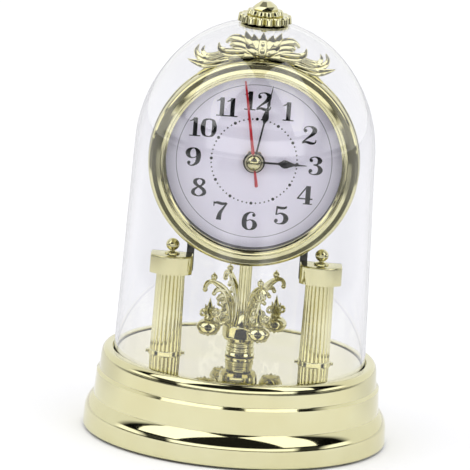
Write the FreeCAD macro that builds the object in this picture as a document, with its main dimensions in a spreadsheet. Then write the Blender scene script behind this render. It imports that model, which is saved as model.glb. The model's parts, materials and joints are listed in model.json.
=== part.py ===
import FreeCAD, Part
import math
import operator
import os

import Sketcher
from FreeCAD import Placement, Rotation, Vector

# Desk clock with a turning pendulum under a clear dome. Millimetres, +Z up, the dial faces -Y.
# The origin is the centre of the circle that the feet stand on.

# Driving sizes: name, value, what it is. Heights are above the table, depths are along Y from the clock's axis.
# A size that follows others gives the names that it adds up, with a minus before what it takes away.
BASE_SIZES = (
    ("overrun", 1.0, "how far a cutting shape reaches past what it cuts"),
    ("foot_height", 1.0, "how far the rubber feet stand below the base"),
    ("foot_radius", 5.0, "rubber foot"),
    ("flange_radius", 77.5, "widest ring of the base"),
    ("foot_inset", 11.5, "how far the feet's circle lies inside the flange"),
    ("foot_circle", ("flange_radius", "-foot_inset"), "radius of the circle that the feet stand on"),
    ("flange_draft", 0.5, "how much narrower the flange is at its top"),
    ("flange_top", 10.9, "height of the flange's straight wall"),
    ("flange_edge_round", 1.2, "rounding under the flange"),
    ("shoulder_round", 7.3, "radius of the rounded shoulder"),
    ("shoulder_rise", 6.5, "height of the rounded shoulder"),
    ("shoulder_top", ("flange_top", "shoulder_rise"), "height where the shoulder meets the middle band"),
    ("shoulder_width", 4.5, "how far the middle band steps in from the flange"),
    ("middle_radius", ("flange_radius", "-shoulder_width"), "middle band at its foot"),
    ("band_draft", 0.75, "how much each band narrows upwards"),
    ("middle_rise", 13.5, "height of the middle band with its step"),
    ("step_height", ("shoulder_top", "middle_rise"), "height of the step between the bands"),
    ("step_width", 1.3, "width of the step, a bevel"),
    ("upper_rise", 11.3, "height of the top band"),
    ("rim_top", ("step_height", "upper_rise"), "top of the base"),
    ("rim_round", 1.9, "rounding of the rim's outer edge"),
    ("edge_round", 0.5, "small rounding of the inner rim and of the step"),
    ("shell_wall", 2.2, "floor under the deck and least wall"),
    ("lower_wall", 3.0, "wall of the middle band at its foot"),
    ("lower_chamber_radius", ("middle_radius", "-lower_wall"), "hollow behind the middle band"),
    ("chamber_step_width", 2.0, "how much the hollow narrows"),
    ("upper_chamber_radius", ("lower_chamber_radius", "-chamber_step_width"), "hollow behind the top band"),
    ("chamber_step_drop", 3.9, "how far below the step the hollow narrows"),
    ("chamber_step", ("step_height", "-chamber_step_drop"), "height where the hollow narrows"),
    ("deck_drop", 0.8, "how far the deck lies below the rim"),
    ("deck_top", ("rim_top", "-deck_drop"), "polished deck that the columns stand on"),
    ("deck_thickness", 3.0, "deck plate"),
    ("deck_bevel", 0.4, "bevel round the deck plate"),
    ("cover_inset", 4.0, "how far the bottom cover's edge lies inside the flange"),
    ("cover_radius", ("flange_radius", "-cover_inset"), "bottom cover"),
    ("cover_thickness", 2.4, "bottom cover"),
    ("cover_slack", 0.3, "gap round the bottom cover"),
    ("screw_inset", 17.5, "how far the cover's screws lie inside the flange"),
    ("screw_circle", ("flange_radius", "-screw_inset"), "radius of the circle of the cover's screws"),
    ("boss_radius", 3.4, "screw boss under the floor"),
    ("boss_hole_depth", 12.0, "pilot hole in each boss"),
    ("screw_radius", 1.2, "thread of the cover's screws"),
    ("screw_length", 9.0, "thread length of the cover's screws"),
    ("screw_head_radius", 2.6, "head of the cover's screws"),
    ("screw_head_height", 1.4, "head of the cover's screws"),
    ("thread_slack", 0.05, "radial gap round a screw's thread"),
    ("head_slack", 0.3, "gap round a screw's head"),
)
POWER_SIZES = (
    ("cell_radius", 7.1, "dry cell"),
    ("cell_length", 49.2, "dry cell without its nub"),
    ("cell_nub_radius", 2.6, "nub of the cell"),
    ("cell_nub_length", 1.2, "nub of the cell"),
    ("cell_slack", 0.5, "gap round the cell in its box"),
    ("contact_thickness", 0.5, "contact plate"),
    ("contact_width", 9.0, "contact plate"),
    ("contact_slack", 0.2, "gap between a cell and a contact plate"),
    ("cell_box_wall", 1.7, "wall of the base's cell box"),
    ("cell_box_place", 34.0, "how far the cell box lies behind the axis"),
    ("door_thickness", 1.6, "battery door"),
    ("door_slack", 0.3, "gap round the battery door"),
    ("door_pin_radius", 0.8, "hinge pin of the battery door"),
    ("door_pin_reach", 1.1, "how far the hinge pin enters each side"),
    ("door_grip_radius", 4.0, "finger hollow at the door's free edge"),
    ("coil_radius", 9.0, "drive coil"),
    ("coil_bore", 3.0, "bore of the drive coil"),
    ("coil_height", 7.8, "drive coil"),
    ("board_length", 44.0, "drive circuit board"),
    ("board_width", 30.0, "drive circuit board"),
    ("board_thickness", 1.6, "drive circuit board"),
)
COLUMN_SIZES = (
    ("column_spacing", 76.0, "between the axes of the two columns"),
    ("column_forward", 4.0, "how far the columns stand in front of the axis"),
    ("column_top_radius", 7.3, "column under its capital"),
    ("column_foot_radius", 7.9, "column above its plinth"),
    ("column_bore", 1.6, "bore for the tie screw"),
    ("flute_radius", 0.62, "flute in the column"),
    ("flute_count", 20, "flutes round the column"),
    ("plinth_radius", 8.7, "plinth disc"),
    ("plinth_height", 1.5, "plinth disc"),
    ("plinth_lug_reach", 9.9, "how far each plinth lug reaches from the column's axis"),
    ("plinth_lug_width", 3.0, "plinth lug"),
    ("capital_drop", 62.0, "how far the capitals start below the dial's centre"),
    ("capital_bottom", ("head_height", "-capital_drop"), "height of the capital's underside"),
    ("capital_height", 9.6, "capital"),
    ("capital_width", 21.4, "capital along X"),
    ("capital_back", 6.0, "capital behind the column's axis"),
    ("capital_front", 5.2, "flat front shoulders of the capital before the column's axis"),
    ("capital_bow", 8.8, "bowed front of the capital before the column's axis"),
    ("capital_bow_width", 11.4, "width of the bowed front"),
    ("capital_bevel", 0.5, "bevel round the capital's top"),
    ("ball_radius", 3.45, "ball on the capital"),
    ("ball_rise", 4.6, "height of the ball's centre above the capital"),
    ("ball_height", ("capital_bottom", "capital_height", "ball_rise"), "height of the ball's centre"),
    ("ball_stem_radius", 1.3, "stem under the ball"),
    ("ball_collar_radius", 3.8, "collar on the capital"),
    ("ball_collar_height", 1.3, "collar on the capital"),
    ("tie_radius", 1.45, "tie screw through deck and column"),
    ("tie_head_radius", 2.8, "tie screw head"),
    ("tie_head_height", 2.0, "tie screw head"),
    ("tie_reach", 6.0, "how far the tie screw enters the capital"),
    ("support_width", 3.8, "support strip along X"),
    ("support_depth", 7.0, "support strip along Y"),
    ("support_overlap", 3.5, "how far the support lies behind the capital"),
    ("support_gap", 0.1, "gap between the support's saddle and the case"),
    ("support_screw_radius", 1.0, "screw through the support"),
    ("support_screw_head", 1.8, "head of the screw through the support"),
    ("support_screw_head_height", 1.2, "head of the screw through the support"),
    ("support_screw_grip", 4.0, "how far the screw enters the capital"),
)
HEAD_SIZES = (
    ("head_height", 145.0, "height of the dial's centre"),
    ("case_radius", 50.5, "outside of the case"),
    ("case_wall", 2.0, "wall of the case"),
    ("case_front", 11.3, "depth of the case's front edge before the axis"),
    ("case_back", 13.0, "depth of the case's back edge behind the axis"),
    ("case_flange_radius", 53.4, "flange behind the bezel"),
    ("case_flange_thickness", 1.5, "flange behind the bezel"),
    ("case_lip", 1.7, "width of the inner lips that carry dial and back cover"),
    ("case_lip_thickness", 1.5, "thickness of the inner lips"),
    ("back_cover_thickness", 1.8, "back cover"),
    ("back_window", 50.0, "square window in the back cover"),
    ("seat_slack", 0.2, "gap round dial, lens and back cover"),
    ("bezel_radius", 53.0, "outside of the bezel"),
    ("bezel_front", 20.6, "front of the bezel before the axis"),
    ("bezel_roll", 6.2, "radius of the bezel's rounded outside"),
    ("bezel_crown_radius", 47.4, "radius where the rounded outside ends"),
    ("bezel_step_depth", 0.8, "depth of each inner step"),
    ("bezel_step_width", 0.95, "width of each inner step"),
    ("bezel_opening", 44.4, "clear opening of the bezel"),
    ("bezel_lip_back", 17.4, "back of the bezel's lip before the axis"),
    ("lens_edge", 45.9, "edge of the lens"),
    ("lens_thickness", 1.4, "lens"),
    ("lens_dome_radius", 44.0, "where the lens starts to bulge"),
    ("lens_bulge", 4.6, "how far the lens bulges"),
    ("spacer_wall", 1.4, "ring between lens and dial"),
    ("dial_front", 10.5, "face of the dial before the axis"),
    ("dial_thickness", 1.0, "dial"),
    ("movement_size", 56.0, "movement, across"),
    ("movement_depth", 16.0, "movement, front to back"),
    ("movement_drop", 18.0, "how far the movement's cell lies below the centre"),
    ("movement_web", 0.9, "web in front of the movement's cell"),
    ("bush_radius", 4.0, "threaded bush through the dial"),
    ("bush_bore", 2.65, "bore of the bush"),
    ("bush_reach", 1.9, "how far the bush stands out of the dial"),
    ("bush_bore_depth", 2.0, "how far the bore runs into the movement"),
    ("nut_height", 1.7, "nut on the bush"),
    ("nut_across_corners", 11.5, "nut on the bush"),
    ("hand_thickness", 0.4, "hands"),
    ("hour_depth", 13.0, "front of the hour hand before the axis"),
    ("minute_depth", 14.0, "front of the minute hand before the axis"),
    ("second_depth", 15.0, "front of the second hand before the axis"),
    ("pipe_radius", 2.55, "hour pipe"),
    ("pipe_bore", 1.77, "bore of the hour pipe"),
    ("arbor_radius", 1.7, "minute arbor"),
    ("arbor_bore", 0.65, "bore of the minute arbor"),
    ("pin_radius", 0.6, "second pin"),
    ("turn_slack", 0.05, "radial gap of the running fits"),
    ("hour_reach", 25.0, "length of the hour hand"),
    ("hour_hub", 3.7, "hub of the hour hand"),
    ("hour_stem", 1.3, "stem of the hour hand"),
    ("hour_spade", 4.4, "spade of the hour hand"),
    ("hour_spade_place", 14.2, "widest place of the hour hand's spade"),
    ("minute_reach", 40.6, "length of the minute hand"),
    ("minute_hub", 5.5, "round hub of the minute hand"),
    ("minute_stem", 1.1, "stem of the minute hand"),
    ("minute_spade", 4.2, "spade of the minute hand"),
    ("minute_spade_place", 22.8, "widest place of the minute hand's spade"),
    ("second_reach", 42.4, "length of the second hand"),
    ("second_tail", 12.6, "tail of the second hand"),
    ("second_width", 0.9, "second hand"),
    ("second_tail_width", 1.5, "end of the second hand's tail"),
    ("cap_radius", 4.7, "cap over the hands"),
    ("cap_height", 3.2, "cap over the hands"),
    ("hour_angle", 91.0, "hour hand at rest, clockwise from twelve"),
    ("minute_angle", 9.8, "minute hand at rest, clockwise from twelve"),
    ("second_angle", -9.9, "second hand at rest, clockwise from twelve"),
    ("knob_radius", 6.0, "setting knob"),
    ("knob_height", 4.6, "setting knob"),
    ("knob_rise", 14.0, "height of the setting knob above the centre"),
    ("knob_grip_radius", 0.7, "grip groove of the setting knob"),
    ("knob_grip_count", 16, "grip grooves of the setting knob"),
    ("knob_shaft_radius", 1.5, "shaft of the setting knob"),
    ("knob_shaft_length", 3.0, "how far the shaft enters the movement"),
    ("knob_lift", 0.5, "gap between the knob and the movement"),
    ("crest_thickness", 4.0, "ornament on the bezel, front to back"),
    ("crest_front", 15.4, "front of the ornament before the axis"),
    ("crest_rail", 2.0, "height of the ornament's rail on the bezel"),
    ("crest_rail_angle", 37.0, "half angle that the ornament's rail spans"),
    ("crest_height", 14.0, "height of the ornament above the bezel"),
    ("crest_gap", 0.1, "gap between the ornament and the bezel"),
    ("crest_lean", 25.0, "how far the leaves lean back, in degrees"),
)
DOME_SIZES = (
    ("dome_inset", 13.1, "how far the dome's foot lies inside the flange"),
    ("dome_foot_radius", ("flange_radius", "-dome_inset"), "outside of the dome at its foot"),
    ("dome_taper", 3.3, "how much the dome narrows up to its shoulder"),
    ("dome_shoulder_radius", ("dome_foot_radius", "-dome_taper"), "outside of the dome where it starts to close"),
    ("dome_shoulder_rise", 5.8, "height of the dome's shoulder above the dial's centre"),
    ("dome_shoulder", ("head_height", "dome_shoulder_rise"), "height where the dome starts to close"),
    ("dome_rise", 65.0, "height of the dome above its shoulder"),
    ("dome_top", ("dome_shoulder", "dome_rise"), "top of the dome"),
    ("dome_wall", 1.5, "dome"),
    ("dome_join_angle", 45.0, "where the dome's two curves join"),
    ("dome_slack", 0.4, "gap on each side of the dome's foot in its groove"),
    ("crown_radius", 14.0, "scalloped crown on the dome"),
    ("crown_drop", 1.9, "how far the crown's edge hangs below the dome's top"),
    ("crown_bottom", ("dome_top", "-crown_drop"), "underside of the crown at its edge"),
    ("crown_height", 4.7, "scalloped crown"),
    ("crown_top", ("crown_bottom", "crown_height"), "top of the crown"),
    ("crown_lobe_radius", 2.1, "one lobe of the crown"),
    ("crown_lobe_count", 16, "lobes of the crown"),
    ("tier_radius", 9.6, "upper tier of the finial"),
    ("tier_lobe_radius", 1.7, "one lobe of the upper tier"),
    ("tier_height", 2.3, "upper tier of the finial"),
    ("tier_top", ("crown_top", "tier_height"), "top of the upper tier"),
    ("knob_foot_radius", 7.2, "faceted knob at its foot"),
    ("knob_waist_radius", 6.6, "faceted knob at its shoulder"),
    ("knob_top_radius", 2.6, "flat on top of the faceted knob"),
    ("knob_skirt_height", 2.0, "lower part of the faceted knob"),
    ("knob_shoulder", ("tier_top", "knob_skirt_height"), "height of the faceted knob's shoulder"),
    ("knob_peak_height", 2.7, "upper part of the faceted knob"),
    ("knob_top", ("knob_shoulder", "knob_peak_height"), "top of the faceted knob"),
    ("knob_facets", 8, "facets of the knob"),
    ("stud_radius", 1.6, "stud that holds the finial"),
    ("stud_drop", 6.2, "how far the stud reaches below the dome's top"),
    ("stud_foot", ("dome_top", "-stud_drop"), "lower end of the stud"),
    ("washer_radius", 12.0, "washer under the dome's top"),
    ("washer_drop", 3.9, "how far the washer reaches below the dome's top"),
    ("washer_bottom", ("dome_top", "-washer_drop"), "underside of the washer"),
    ("finial_gap", 0.1, "gap between the finial's pieces and the dome"),
)
PENDULUM_SIZES = (
    ("needle_radius", 1.0, "needle that carries the pendulum"),
    ("needle_point", 2.0, "length of the needle's point"),
    ("needle_slack", 0.03, "gap round the needle in deck and floor"),
    ("swing_gap", 0.4, "gap between the pendulum's foot and the deck"),
    ("tube_radius", 3.4, "pendulum tube"),
    ("tube_bore", 1.6, "bore of the tube"),
    ("tube_drop", 54.4, "how far the tube ends below the dial's centre"),
    ("tube_top", ("head_height", "-tube_drop"), "top of the tube"),
    ("needle_drop", 2.6, "how far the needle's point lies below the tube's top"),
    ("needle_top", ("tube_top", "-needle_drop"), "point of the needle"),
    ("tube_flute_radius", 0.5, "flute in the tube"),
    ("tube_flute_count", 8, "flutes round the tube"),
    ("bell_radius", 4.9, "flared foot of the tube"),
    ("bell_curve", 35.0, "radius of the flare"),
    ("bearing_gap", 0.05, "gap between the needle's point and its bearing"),
    ("bearing_flange", 0.8, "flange of the bearing on the tube"),
    ("bowl_height", 15.1, "height of the bowl's rim above the deck"),
    ("bowl_top", ("deck_top", "bowl_height"), "top of the bowl"),
    ("bell_height", 9.5, "height of the tube's flare"),
    ("bell_top", ("bowl_top", "bell_height"), "where the tube starts to flare"),
    ("bowl_radius", 10.3, "rim of the bowl"),
    ("bowl_waist", 6.0, "waist between bowl and rings"),
    ("bowl_depth", 9.5, "depth of the bowl down to its rings"),
    ("bowl_foot", ("bowl_top", "-bowl_depth"), "where the bowl starts above its rings"),
    ("belly_drop", 5.3, "how far the bowl's widest place lies below its rim"),
    ("bowl_belly", ("bowl_top", "-belly_drop"), "height of the bowl's widest place"),
    ("bowl_lip", 0.6, "lip round the bowl's rim"),
    ("neck_radius", 6.4, "neck ring"),
    ("foot_ring_radius", 7.65, "foot ring"),
    ("foot_ring_height", 1.7, "foot ring"),
    ("magnet_radius", 5.2, "drive magnet"),
    ("magnet_bore", 2.0, "bore of the magnet"),
    ("magnet_height", 3.0, "drive magnet"),
    ("magnet_gap", 0.1, "gap round the magnet"),
    ("arm_count", 4, "arms of the pendulum"),
    ("arm_angle", 27.0, "turn of the first arm from +X at rest"),
    ("bob_circle", 18.9, "radius of the circle of the bobs"),
    ("bob_lift", 0.9, "height of the bobs above the bowl's rim"),
    ("bob_height", ("bowl_top", "bob_lift"), "height of the bobs' widest place"),
    ("bob_radius", 5.9, "bob"),
    ("bob_cup", 4.6, "lower half of the bob"),
    ("bob_cap", 4.0, "upper half of the bob"),
    ("bob_rim_radius", 2.05, "rounding of the bob's rim"),
    ("bob_rim_height", 1.85, "half height of the bob's rounded rim"),
    ("bob_nub", 0.9, "nub under the bob and neck over it"),
    ("bob_collar", 2.7, "collar over the bob"),
    ("bob_collar_height", 1.3, "collar over the bob"),
    ("bud_radius", 2.5, "bud over the collar"),
    ("bud_height", 10.0, "bud over the collar"),
    ("stem_radius", 1.0, "branch of an arm"),
    ("stem_circle", 6.5, "radius of the circle of the branches' feet"),
    ("stem_bend", 19.5, "radius of the branch's long bend"),
    ("stem_length", 6.5, "straight foot of the branches above the bowl"),
    ("stem_bend_start", ("bowl_top", "stem_length"), "height where the long bend starts"),
    ("stem_bend_angle", 65.0, "angle of the long bend"),
    ("curl_radius", 3.2, "curl at the branch's end"),
    ("curl_angle", 135.0, "angle of the curl"),
    ("berry_radius", 1.75, "berry on the branch"),
    ("berry_circle", 18.0, "radius of the circle of the berries"),
    ("rod_lift", 0.15, "gap between an arm's rod and the bowl"),
)


class Size:
    """A number together with the spreadsheet formula that gives it."""

    def __init__(self, value, text):
        self.value = value
        self.text = text

    def __add__(self, other):
        return joined(self, "+", other)

    def __radd__(self, other):
        return joined(other, "+", self)

    def __sub__(self, other):
        return joined(self, "-", other)

    def __rsub__(self, other):
        return joined(other, "-", self)

    def __mul__(self, other):
        return joined(self, "*", other)

    def __rmul__(self, other):
        return joined(other, "*", self)

    def __truediv__(self, other):
        return joined(self, "/", other)

    def __neg__(self):
        return joined(0, "-", self)


SIGNS = {"+": operator.add, "-": operator.sub, "*": operator.mul, "/": operator.truediv}


def as_size(number):
    if isinstance(number, Size):
        return number
    return Size(float(number), repr(number))


def joined(first, sign, second):
    first = as_size(first)
    second = as_size(second)
    value = SIGNS[sign](first.value, second.value)
    return Size(value, f"({first.text} {sign} {second.text})")


def root(size):
    return Size(math.sqrt(size.value), f"sqrt({size.text})")


def sine(degrees):
    degrees = as_size(degrees)
    return Size(math.sin(math.radians(degrees.value)), f"sin({degrees.text})")


def cosine(degrees):
    degrees = as_size(degrees)
    return Size(math.cos(math.radians(degrees.value)), f"cos({degrees.text})")


class Sizes:
    """The spreadsheet's cells by name."""


def added(names, terms):
    """The sum of the named sizes, and its formula; a leading minus takes a size away."""
    total = 0
    formula = "="
    for term in terms:
        sign = "-" if term.startswith("-") else "+"
        alias = term.lstrip("-")
        total = SIGNS[sign](total, getattr(names, alias).value)
        formula += f" {sign} {alias}"
    return total, formula.replace("= + ", "=")


def make_sheet(document):
    sheet = document.addObject("Spreadsheet::Sheet", "Sizes")
    names = Sizes()
    row = 1
    for group in (BASE_SIZES, POWER_SIZES, HEAD_SIZES, COLUMN_SIZES, DOME_SIZES, PENDULUM_SIZES):
        for alias, value, meaning in group:
            formula = str(value)
            if isinstance(value, tuple):
                value, formula = added(names, value)
            sheet.set(f"A{row}", alias)
            sheet.set(f"B{row}", formula)
            sheet.setAlias(f"B{row}", alias)
            sheet.set(f"C{row}", meaning)
            setattr(names, alias, Size(float(value), f"Sizes.{alias}"))
            row += 1
    document.recompute()
    return names


doc = FreeCAD.newDocument("pendulum_clock")
s = make_sheet(doc)
ALONG_Z = Rotation()
# The turns that take a primitive's own +Z axis to another one.
ALONG_Y = Rotation(Vector(1, 0, 0), -90)
ALONG_X = Rotation(Vector(0, 1, 0), 90)
SIDES = {"left": -1, "right": 1}


# Helpers that make and place objects

def bind(item, **formulas):
    for name, formula in formulas.items():
        item.setExpression(name, as_size(formula).text)
    return item


def put(item, x=0, y=0, z=0, turn=None):
    if turn is not None:
        item.Placement = Placement(Vector(0, 0, 0), turn)
    item.setExpression("Placement.Base.x", as_size(x).text)
    item.setExpression("Placement.Base.y", as_size(y).text)
    item.setExpression("Placement.Base.z", as_size(z).text)
    return item


def new(kind, label):
    item = doc.addObject(kind, label)
    item.Label = label
    return item


def cylinder(label, radius, height, x=0, y=0, z=0, turn=None):
    return put(bind(new("Part::Cylinder", label), Radius=radius, Height=height), x, y, z, turn)


def box(label, x, y, z):
    """x, y and z are pairs: where the box starts and ends."""
    item = bind(new("Part::Box", label), Length=x[1] - x[0], Width=y[1] - y[0], Height=z[1] - z[0])
    return put(item, x[0], y[0], z[0])


def cut(label, base, tools):
    tool = tools[0] if len(tools) == 1 else fuse(label + "_tools", tools)
    item = new("Part::Cut", label)
    item.Base = base
    item.Tool = tool
    return item


def common(label, first, second):
    item = new("Part::Common", label)
    item.Base = first
    item.Tool = second
    return item


def fuse(label, shapes):
    item = new("Part::MultiFuse", label)
    item.Shapes = shapes
    return item


def origin_feature(body, role):
    return next(feature for feature in body.Origin.OriginFeatures if feature.Role == role)


def sketch_on(body, plane, label):
    sketch = body.newObject("Sketcher::SketchObject", label)
    sketch.AttachmentSupport = [(origin_feature(body, plane), "")]
    sketch.MapMode = "FlatFace"
    return sketch


def bound(sketch, kind, places, size):
    number = sketch.addConstraint(Sketcher.Constraint(kind, *places, size.value))
    sketch.setExpression(f"Constraints[{number}]", size.text)


def pin_point(sketch, place, x, y):
    """Hold one end of a sketch line at the formulas x and y."""
    for size, kind, axis in ((as_size(x), "DistanceX", -2), (as_size(y), "DistanceY", -1)):
        if size.text == "0":
            sketch.addConstraint(Sketcher.Constraint("PointOnObject", *place, axis))
        else:
            bound(sketch, kind, (-1, 1) + place, size)


def arc_between(start, end, radius):
    """The arc from start to end; a positive radius turns left, a negative one right."""
    middle = (start + end) * 0.5
    along = end - start
    reach = math.sqrt(max(radius * radius - along.Length * along.Length / 4, 0))
    left = Vector(-along.y, along.x, 0).normalize()
    centre = middle + left * math.copysign(reach, radius)
    first, last = (start, end) if radius > 0 else (end, start)
    angles = [math.atan2(point.y - centre.y, point.x - centre.x) for point in (first, last)]
    circle = Part.Circle(centre, Vector(0, 0, 1), abs(radius))
    return Part.ArcOfCircle(circle, angles[0], angles[1])


def draw(sketch, outline):
    """A closed outline: each entry is where a side ends, with a third value where the side is an arc."""
    count = len(outline)
    points = [Vector(as_size(entry[0]).value, as_size(entry[1]).value, 0) for entry in outline]
    ends = []
    for index, entry in enumerate(outline):
        start = points[index - 1]
        if len(entry) == 3:
            radius = as_size(entry[2])
            number = sketch.addGeometry(arc_between(start, points[index], radius.value))
            plain = radius if radius.value > 0 else -radius
            bound(sketch, "Radius", (number,), plain)
            ends.append((number, 1, 2) if radius.value > 0 else (number, 2, 1))
        else:
            number = sketch.addGeometry(Part.LineSegment(start, points[index]))
            ends.append((number, 1, 2))
    for index, entry in enumerate(outline):
        side = ends[index]
        following = ends[(index + 1) % count]
        joint = Sketcher.Constraint("Coincident", side[0], side[2], following[0], following[1])
        sketch.addConstraint(joint)
        pin_point(sketch, (side[0], side[2]), entry[0], entry[1])


def new_body(label):
    return new("PartDesign::Body", label)


def turned(label, outline, plane="XZ_Plane"):
    """A body turned from an outline of radius and height, or with XY_Plane of radius and depth."""
    body = new_body(label)
    sketch = sketch_on(body, plane, label + "_outline")
    draw(sketch, outline)
    turn = body.newObject("PartDesign::Revolution", label + "_turn")
    turn.Profile = sketch
    turn.ReferenceAxis = (sketch, ["V_Axis"])
    turn.Angle = 360
    return body


def padded(label, outline, plane, thickness, both_sides=False):
    body = new_body(label)
    sketch = sketch_on(body, plane, label + "_outline")
    draw(sketch, outline)
    pad = body.newObject("PartDesign::Pad", label + "_pad")
    pad.Profile = sketch
    pad.SideType = "Symmetric" if both_sides else "One side"
    bind(pad, Length=thickness)
    return body


def circle_edges(shape, places):
    """Names of the full circles of a turned shape at the given pairs of radius and height."""
    names = []
    for number, edge in enumerate(shape.Edges, 1):
        if not isinstance(edge.Curve, Part.Circle):
            continue
        centre = edge.Curve.Center
        for radius, height in places:
            near_radius = math.isclose(edge.Curve.Radius, radius.value, abs_tol=1e-4)
            if near_radius and math.isclose(centre.z, height.value, abs_tol=1e-4):
                names.append(f"Edge{number}")
    return names


def rounded(body, label, places, radius):
    """Round the circles at the given places of a body turned about Z."""
    doc.recompute()
    base = body.Tip
    fillet = body.newObject("PartDesign::Fillet", label)
    fillet.Base = (base, circle_edges(base.Shape, places))
    bind(fillet, Radius=radius)
    body.Tip = fillet
    return body


def grooved(body, label, groove_radius, circle, tilt, height, count):
    """Cut count grooves along a turned body; tilt leans each groove in to follow a taper."""
    tool = body.newObject("PartDesign::SubtractiveCylinder", label + "_groove")
    tool.AttachmentSupport = [(origin_feature(body, "XY_Plane"), "")]
    tool.MapMode = "FlatFace"
    bind(tool, Radius=groove_radius, Height=height)
    tool.AttachmentOffset = Placement(Vector(0, 0, 0), Rotation(Vector(0, 1, 0), -tilt))
    tool.setExpression("AttachmentOffset.Base.x", as_size(circle).text)
    pattern = body.newObject("PartDesign::PolarPattern", label + "_grooves")
    pattern.Originals = [tool]
    pattern.Axis = (origin_feature(body, "Z_Axis"), [""])
    pattern.Angle = 360
    bind(pattern, Occurrences=count)
    body.Tip = pattern
    return body


def around(count, first=0.0):
    """The angles of count places round a circle, in degrees."""
    return [first + 360.0 * number / count for number in range(int(count))]


# Places that several pieces share

floor_top = s.deck_top - s.deck_thickness
floor_under = floor_top - s.shell_wall
cover_bottom = s.foot_height
cover_top = s.foot_height + s.cover_thickness
step_foot_radius = s.middle_radius - s.band_draft
upper_radius = step_foot_radius - s.step_width
rim_radius = upper_radius - s.band_draft
groove_radius = s.dome_foot_radius + s.dome_slack
deck_radius = s.dome_foot_radius - s.dome_wall - s.dome_slack
column_x = s.column_spacing / 2
capital_top = s.capital_bottom + s.capital_height
tie_top = s.capital_bottom + s.tie_reach
cell_space = s.cell_radius + s.cell_slack
cell_room = s.cell_length / 2 + s.cell_nub_length / 2 + s.contact_slack + s.contact_thickness


# Base

def screw_places():
    return [(s.screw_circle * cosine(angle), s.screw_circle * sine(angle)) for angle in around(4)]


def tie_places():
    return [(column_x * side, -s.column_forward) for side in SIDES.values()]


def make_base_shell():
    outline = (
        (s.cover_radius + s.cover_slack, cover_bottom),
        (s.flange_radius, cover_bottom),
        (s.flange_radius - s.flange_draft, s.flange_top),
        (s.middle_radius, s.shoulder_top, s.shoulder_round),
        (step_foot_radius, s.step_height - s.step_width),
        (upper_radius, s.step_height),
        (rim_radius, s.rim_top),
        (groove_radius, s.rim_top),
        (groove_radius, floor_top),
        (s.needle_radius + s.needle_slack, floor_top),
        (s.needle_radius + s.needle_slack, floor_under),
        (s.upper_chamber_radius, floor_under),
        (s.upper_chamber_radius, s.chamber_step + s.lower_chamber_radius - s.upper_chamber_radius),
        (s.lower_chamber_radius, s.chamber_step),
        (s.lower_chamber_radius, cover_top),
        (s.cover_radius + s.cover_slack, cover_top),
    )
    body = turned("base_form", outline)
    rounded(body, "rim_rounding", [(rim_radius, s.rim_top)], s.rim_round)
    rounded(body, "flange_rounding", [(s.flange_radius, cover_bottom)], s.flange_edge_round)
    small = [(groove_radius, s.rim_top), (upper_radius, s.step_height), (s.middle_radius, s.shoulder_top)]
    rounded(body, "small_roundings", small, s.edge_round)
    bosses = []
    holes = []
    for number, (x, y) in enumerate(screw_places(), 1):
        height = floor_under - cover_top
        bosses.append(cylinder(f"boss_{number}", s.boss_radius, height, x, y, cover_top))
        radius = s.screw_radius + s.thread_slack
        holes.append(cylinder(f"boss_hole_{number}", radius, s.boss_hole_depth, x, y, cover_top))
    for number, (x, y) in enumerate(tie_places(), 1):
        radius = s.tie_radius + s.thread_slack
        length = s.shell_wall + 2 * s.overrun
        holes.append(cylinder(f"floor_hole_{number}", radius, length, x, y, floor_under - s.overrun))
    cut("base_shell", fuse("base_blank", [body] + bosses), holes)


def make_deck_plate():
    outline = (
        (s.needle_radius + s.needle_slack, floor_top),
        (deck_radius, floor_top),
        (deck_radius, s.deck_top - s.deck_bevel),
        (deck_radius - s.deck_bevel, s.deck_top),
        (s.needle_radius + s.needle_slack, s.deck_top),
    )
    holes = []
    for number, (x, y) in enumerate(tie_places(), 1):
        radius = s.tie_radius + s.thread_slack
        length = s.deck_thickness + 2 * s.overrun
        holes.append(cylinder(f"deck_hole_{number}", radius, length, x, y, floor_top - s.overrun))
    cut("deck_plate", turned("deck_form", outline), holes)


door_pin_y = s.cell_box_place + cell_space - s.door_pin_radius - s.door_slack
door_bottom = cover_bottom + s.door_slack / 2
door_middle = door_bottom + s.door_thickness / 2
cell_height = door_bottom + s.door_thickness + s.cell_slack + s.cell_radius


def make_bottom_cover():
    plate = cylinder("cover_plate", s.cover_radius, s.cover_thickness, z=cover_bottom)
    outside_x = cell_room + s.cell_box_wall
    outside_y = cell_space + s.cell_box_wall
    roof = cell_height + cell_space
    middle = s.cell_box_place
    shell = box("cell_box", (-outside_x, outside_x), (middle - outside_y, middle + outside_y),
                (cover_top - s.cover_thickness / 2, roof + s.cell_box_wall))
    room = box("cell_room", (-cell_room, cell_room), (middle - cell_space, middle + cell_space),
               (cover_bottom - s.overrun, roof))
    reach = cell_room + s.door_pin_reach + s.turn_slack
    pin_hole = cylinder("door_pin_hole", s.door_pin_radius + s.turn_slack, 2 * reach,
                        -reach, door_pin_y, door_middle, ALONG_X)
    tools = [room, pin_hole]
    for number, (x, y) in enumerate(screw_places(), 1):
        radius = s.screw_radius + s.thread_slack
        length = s.cover_thickness + 2 * s.overrun
        tools.append(cylinder(f"cover_hole_{number}", radius, length, x, y, cover_bottom - s.overrun))
        depth = s.screw_head_height + s.thread_slack + s.overrun
        tools.append(cylinder(f"cover_recess_{number}", s.screw_head_radius + s.head_slack, depth,
                              x, y, cover_bottom - s.overrun))
    cut("bottom_cover", fuse("cover_blank", [plate, shell]), tools)


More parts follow.
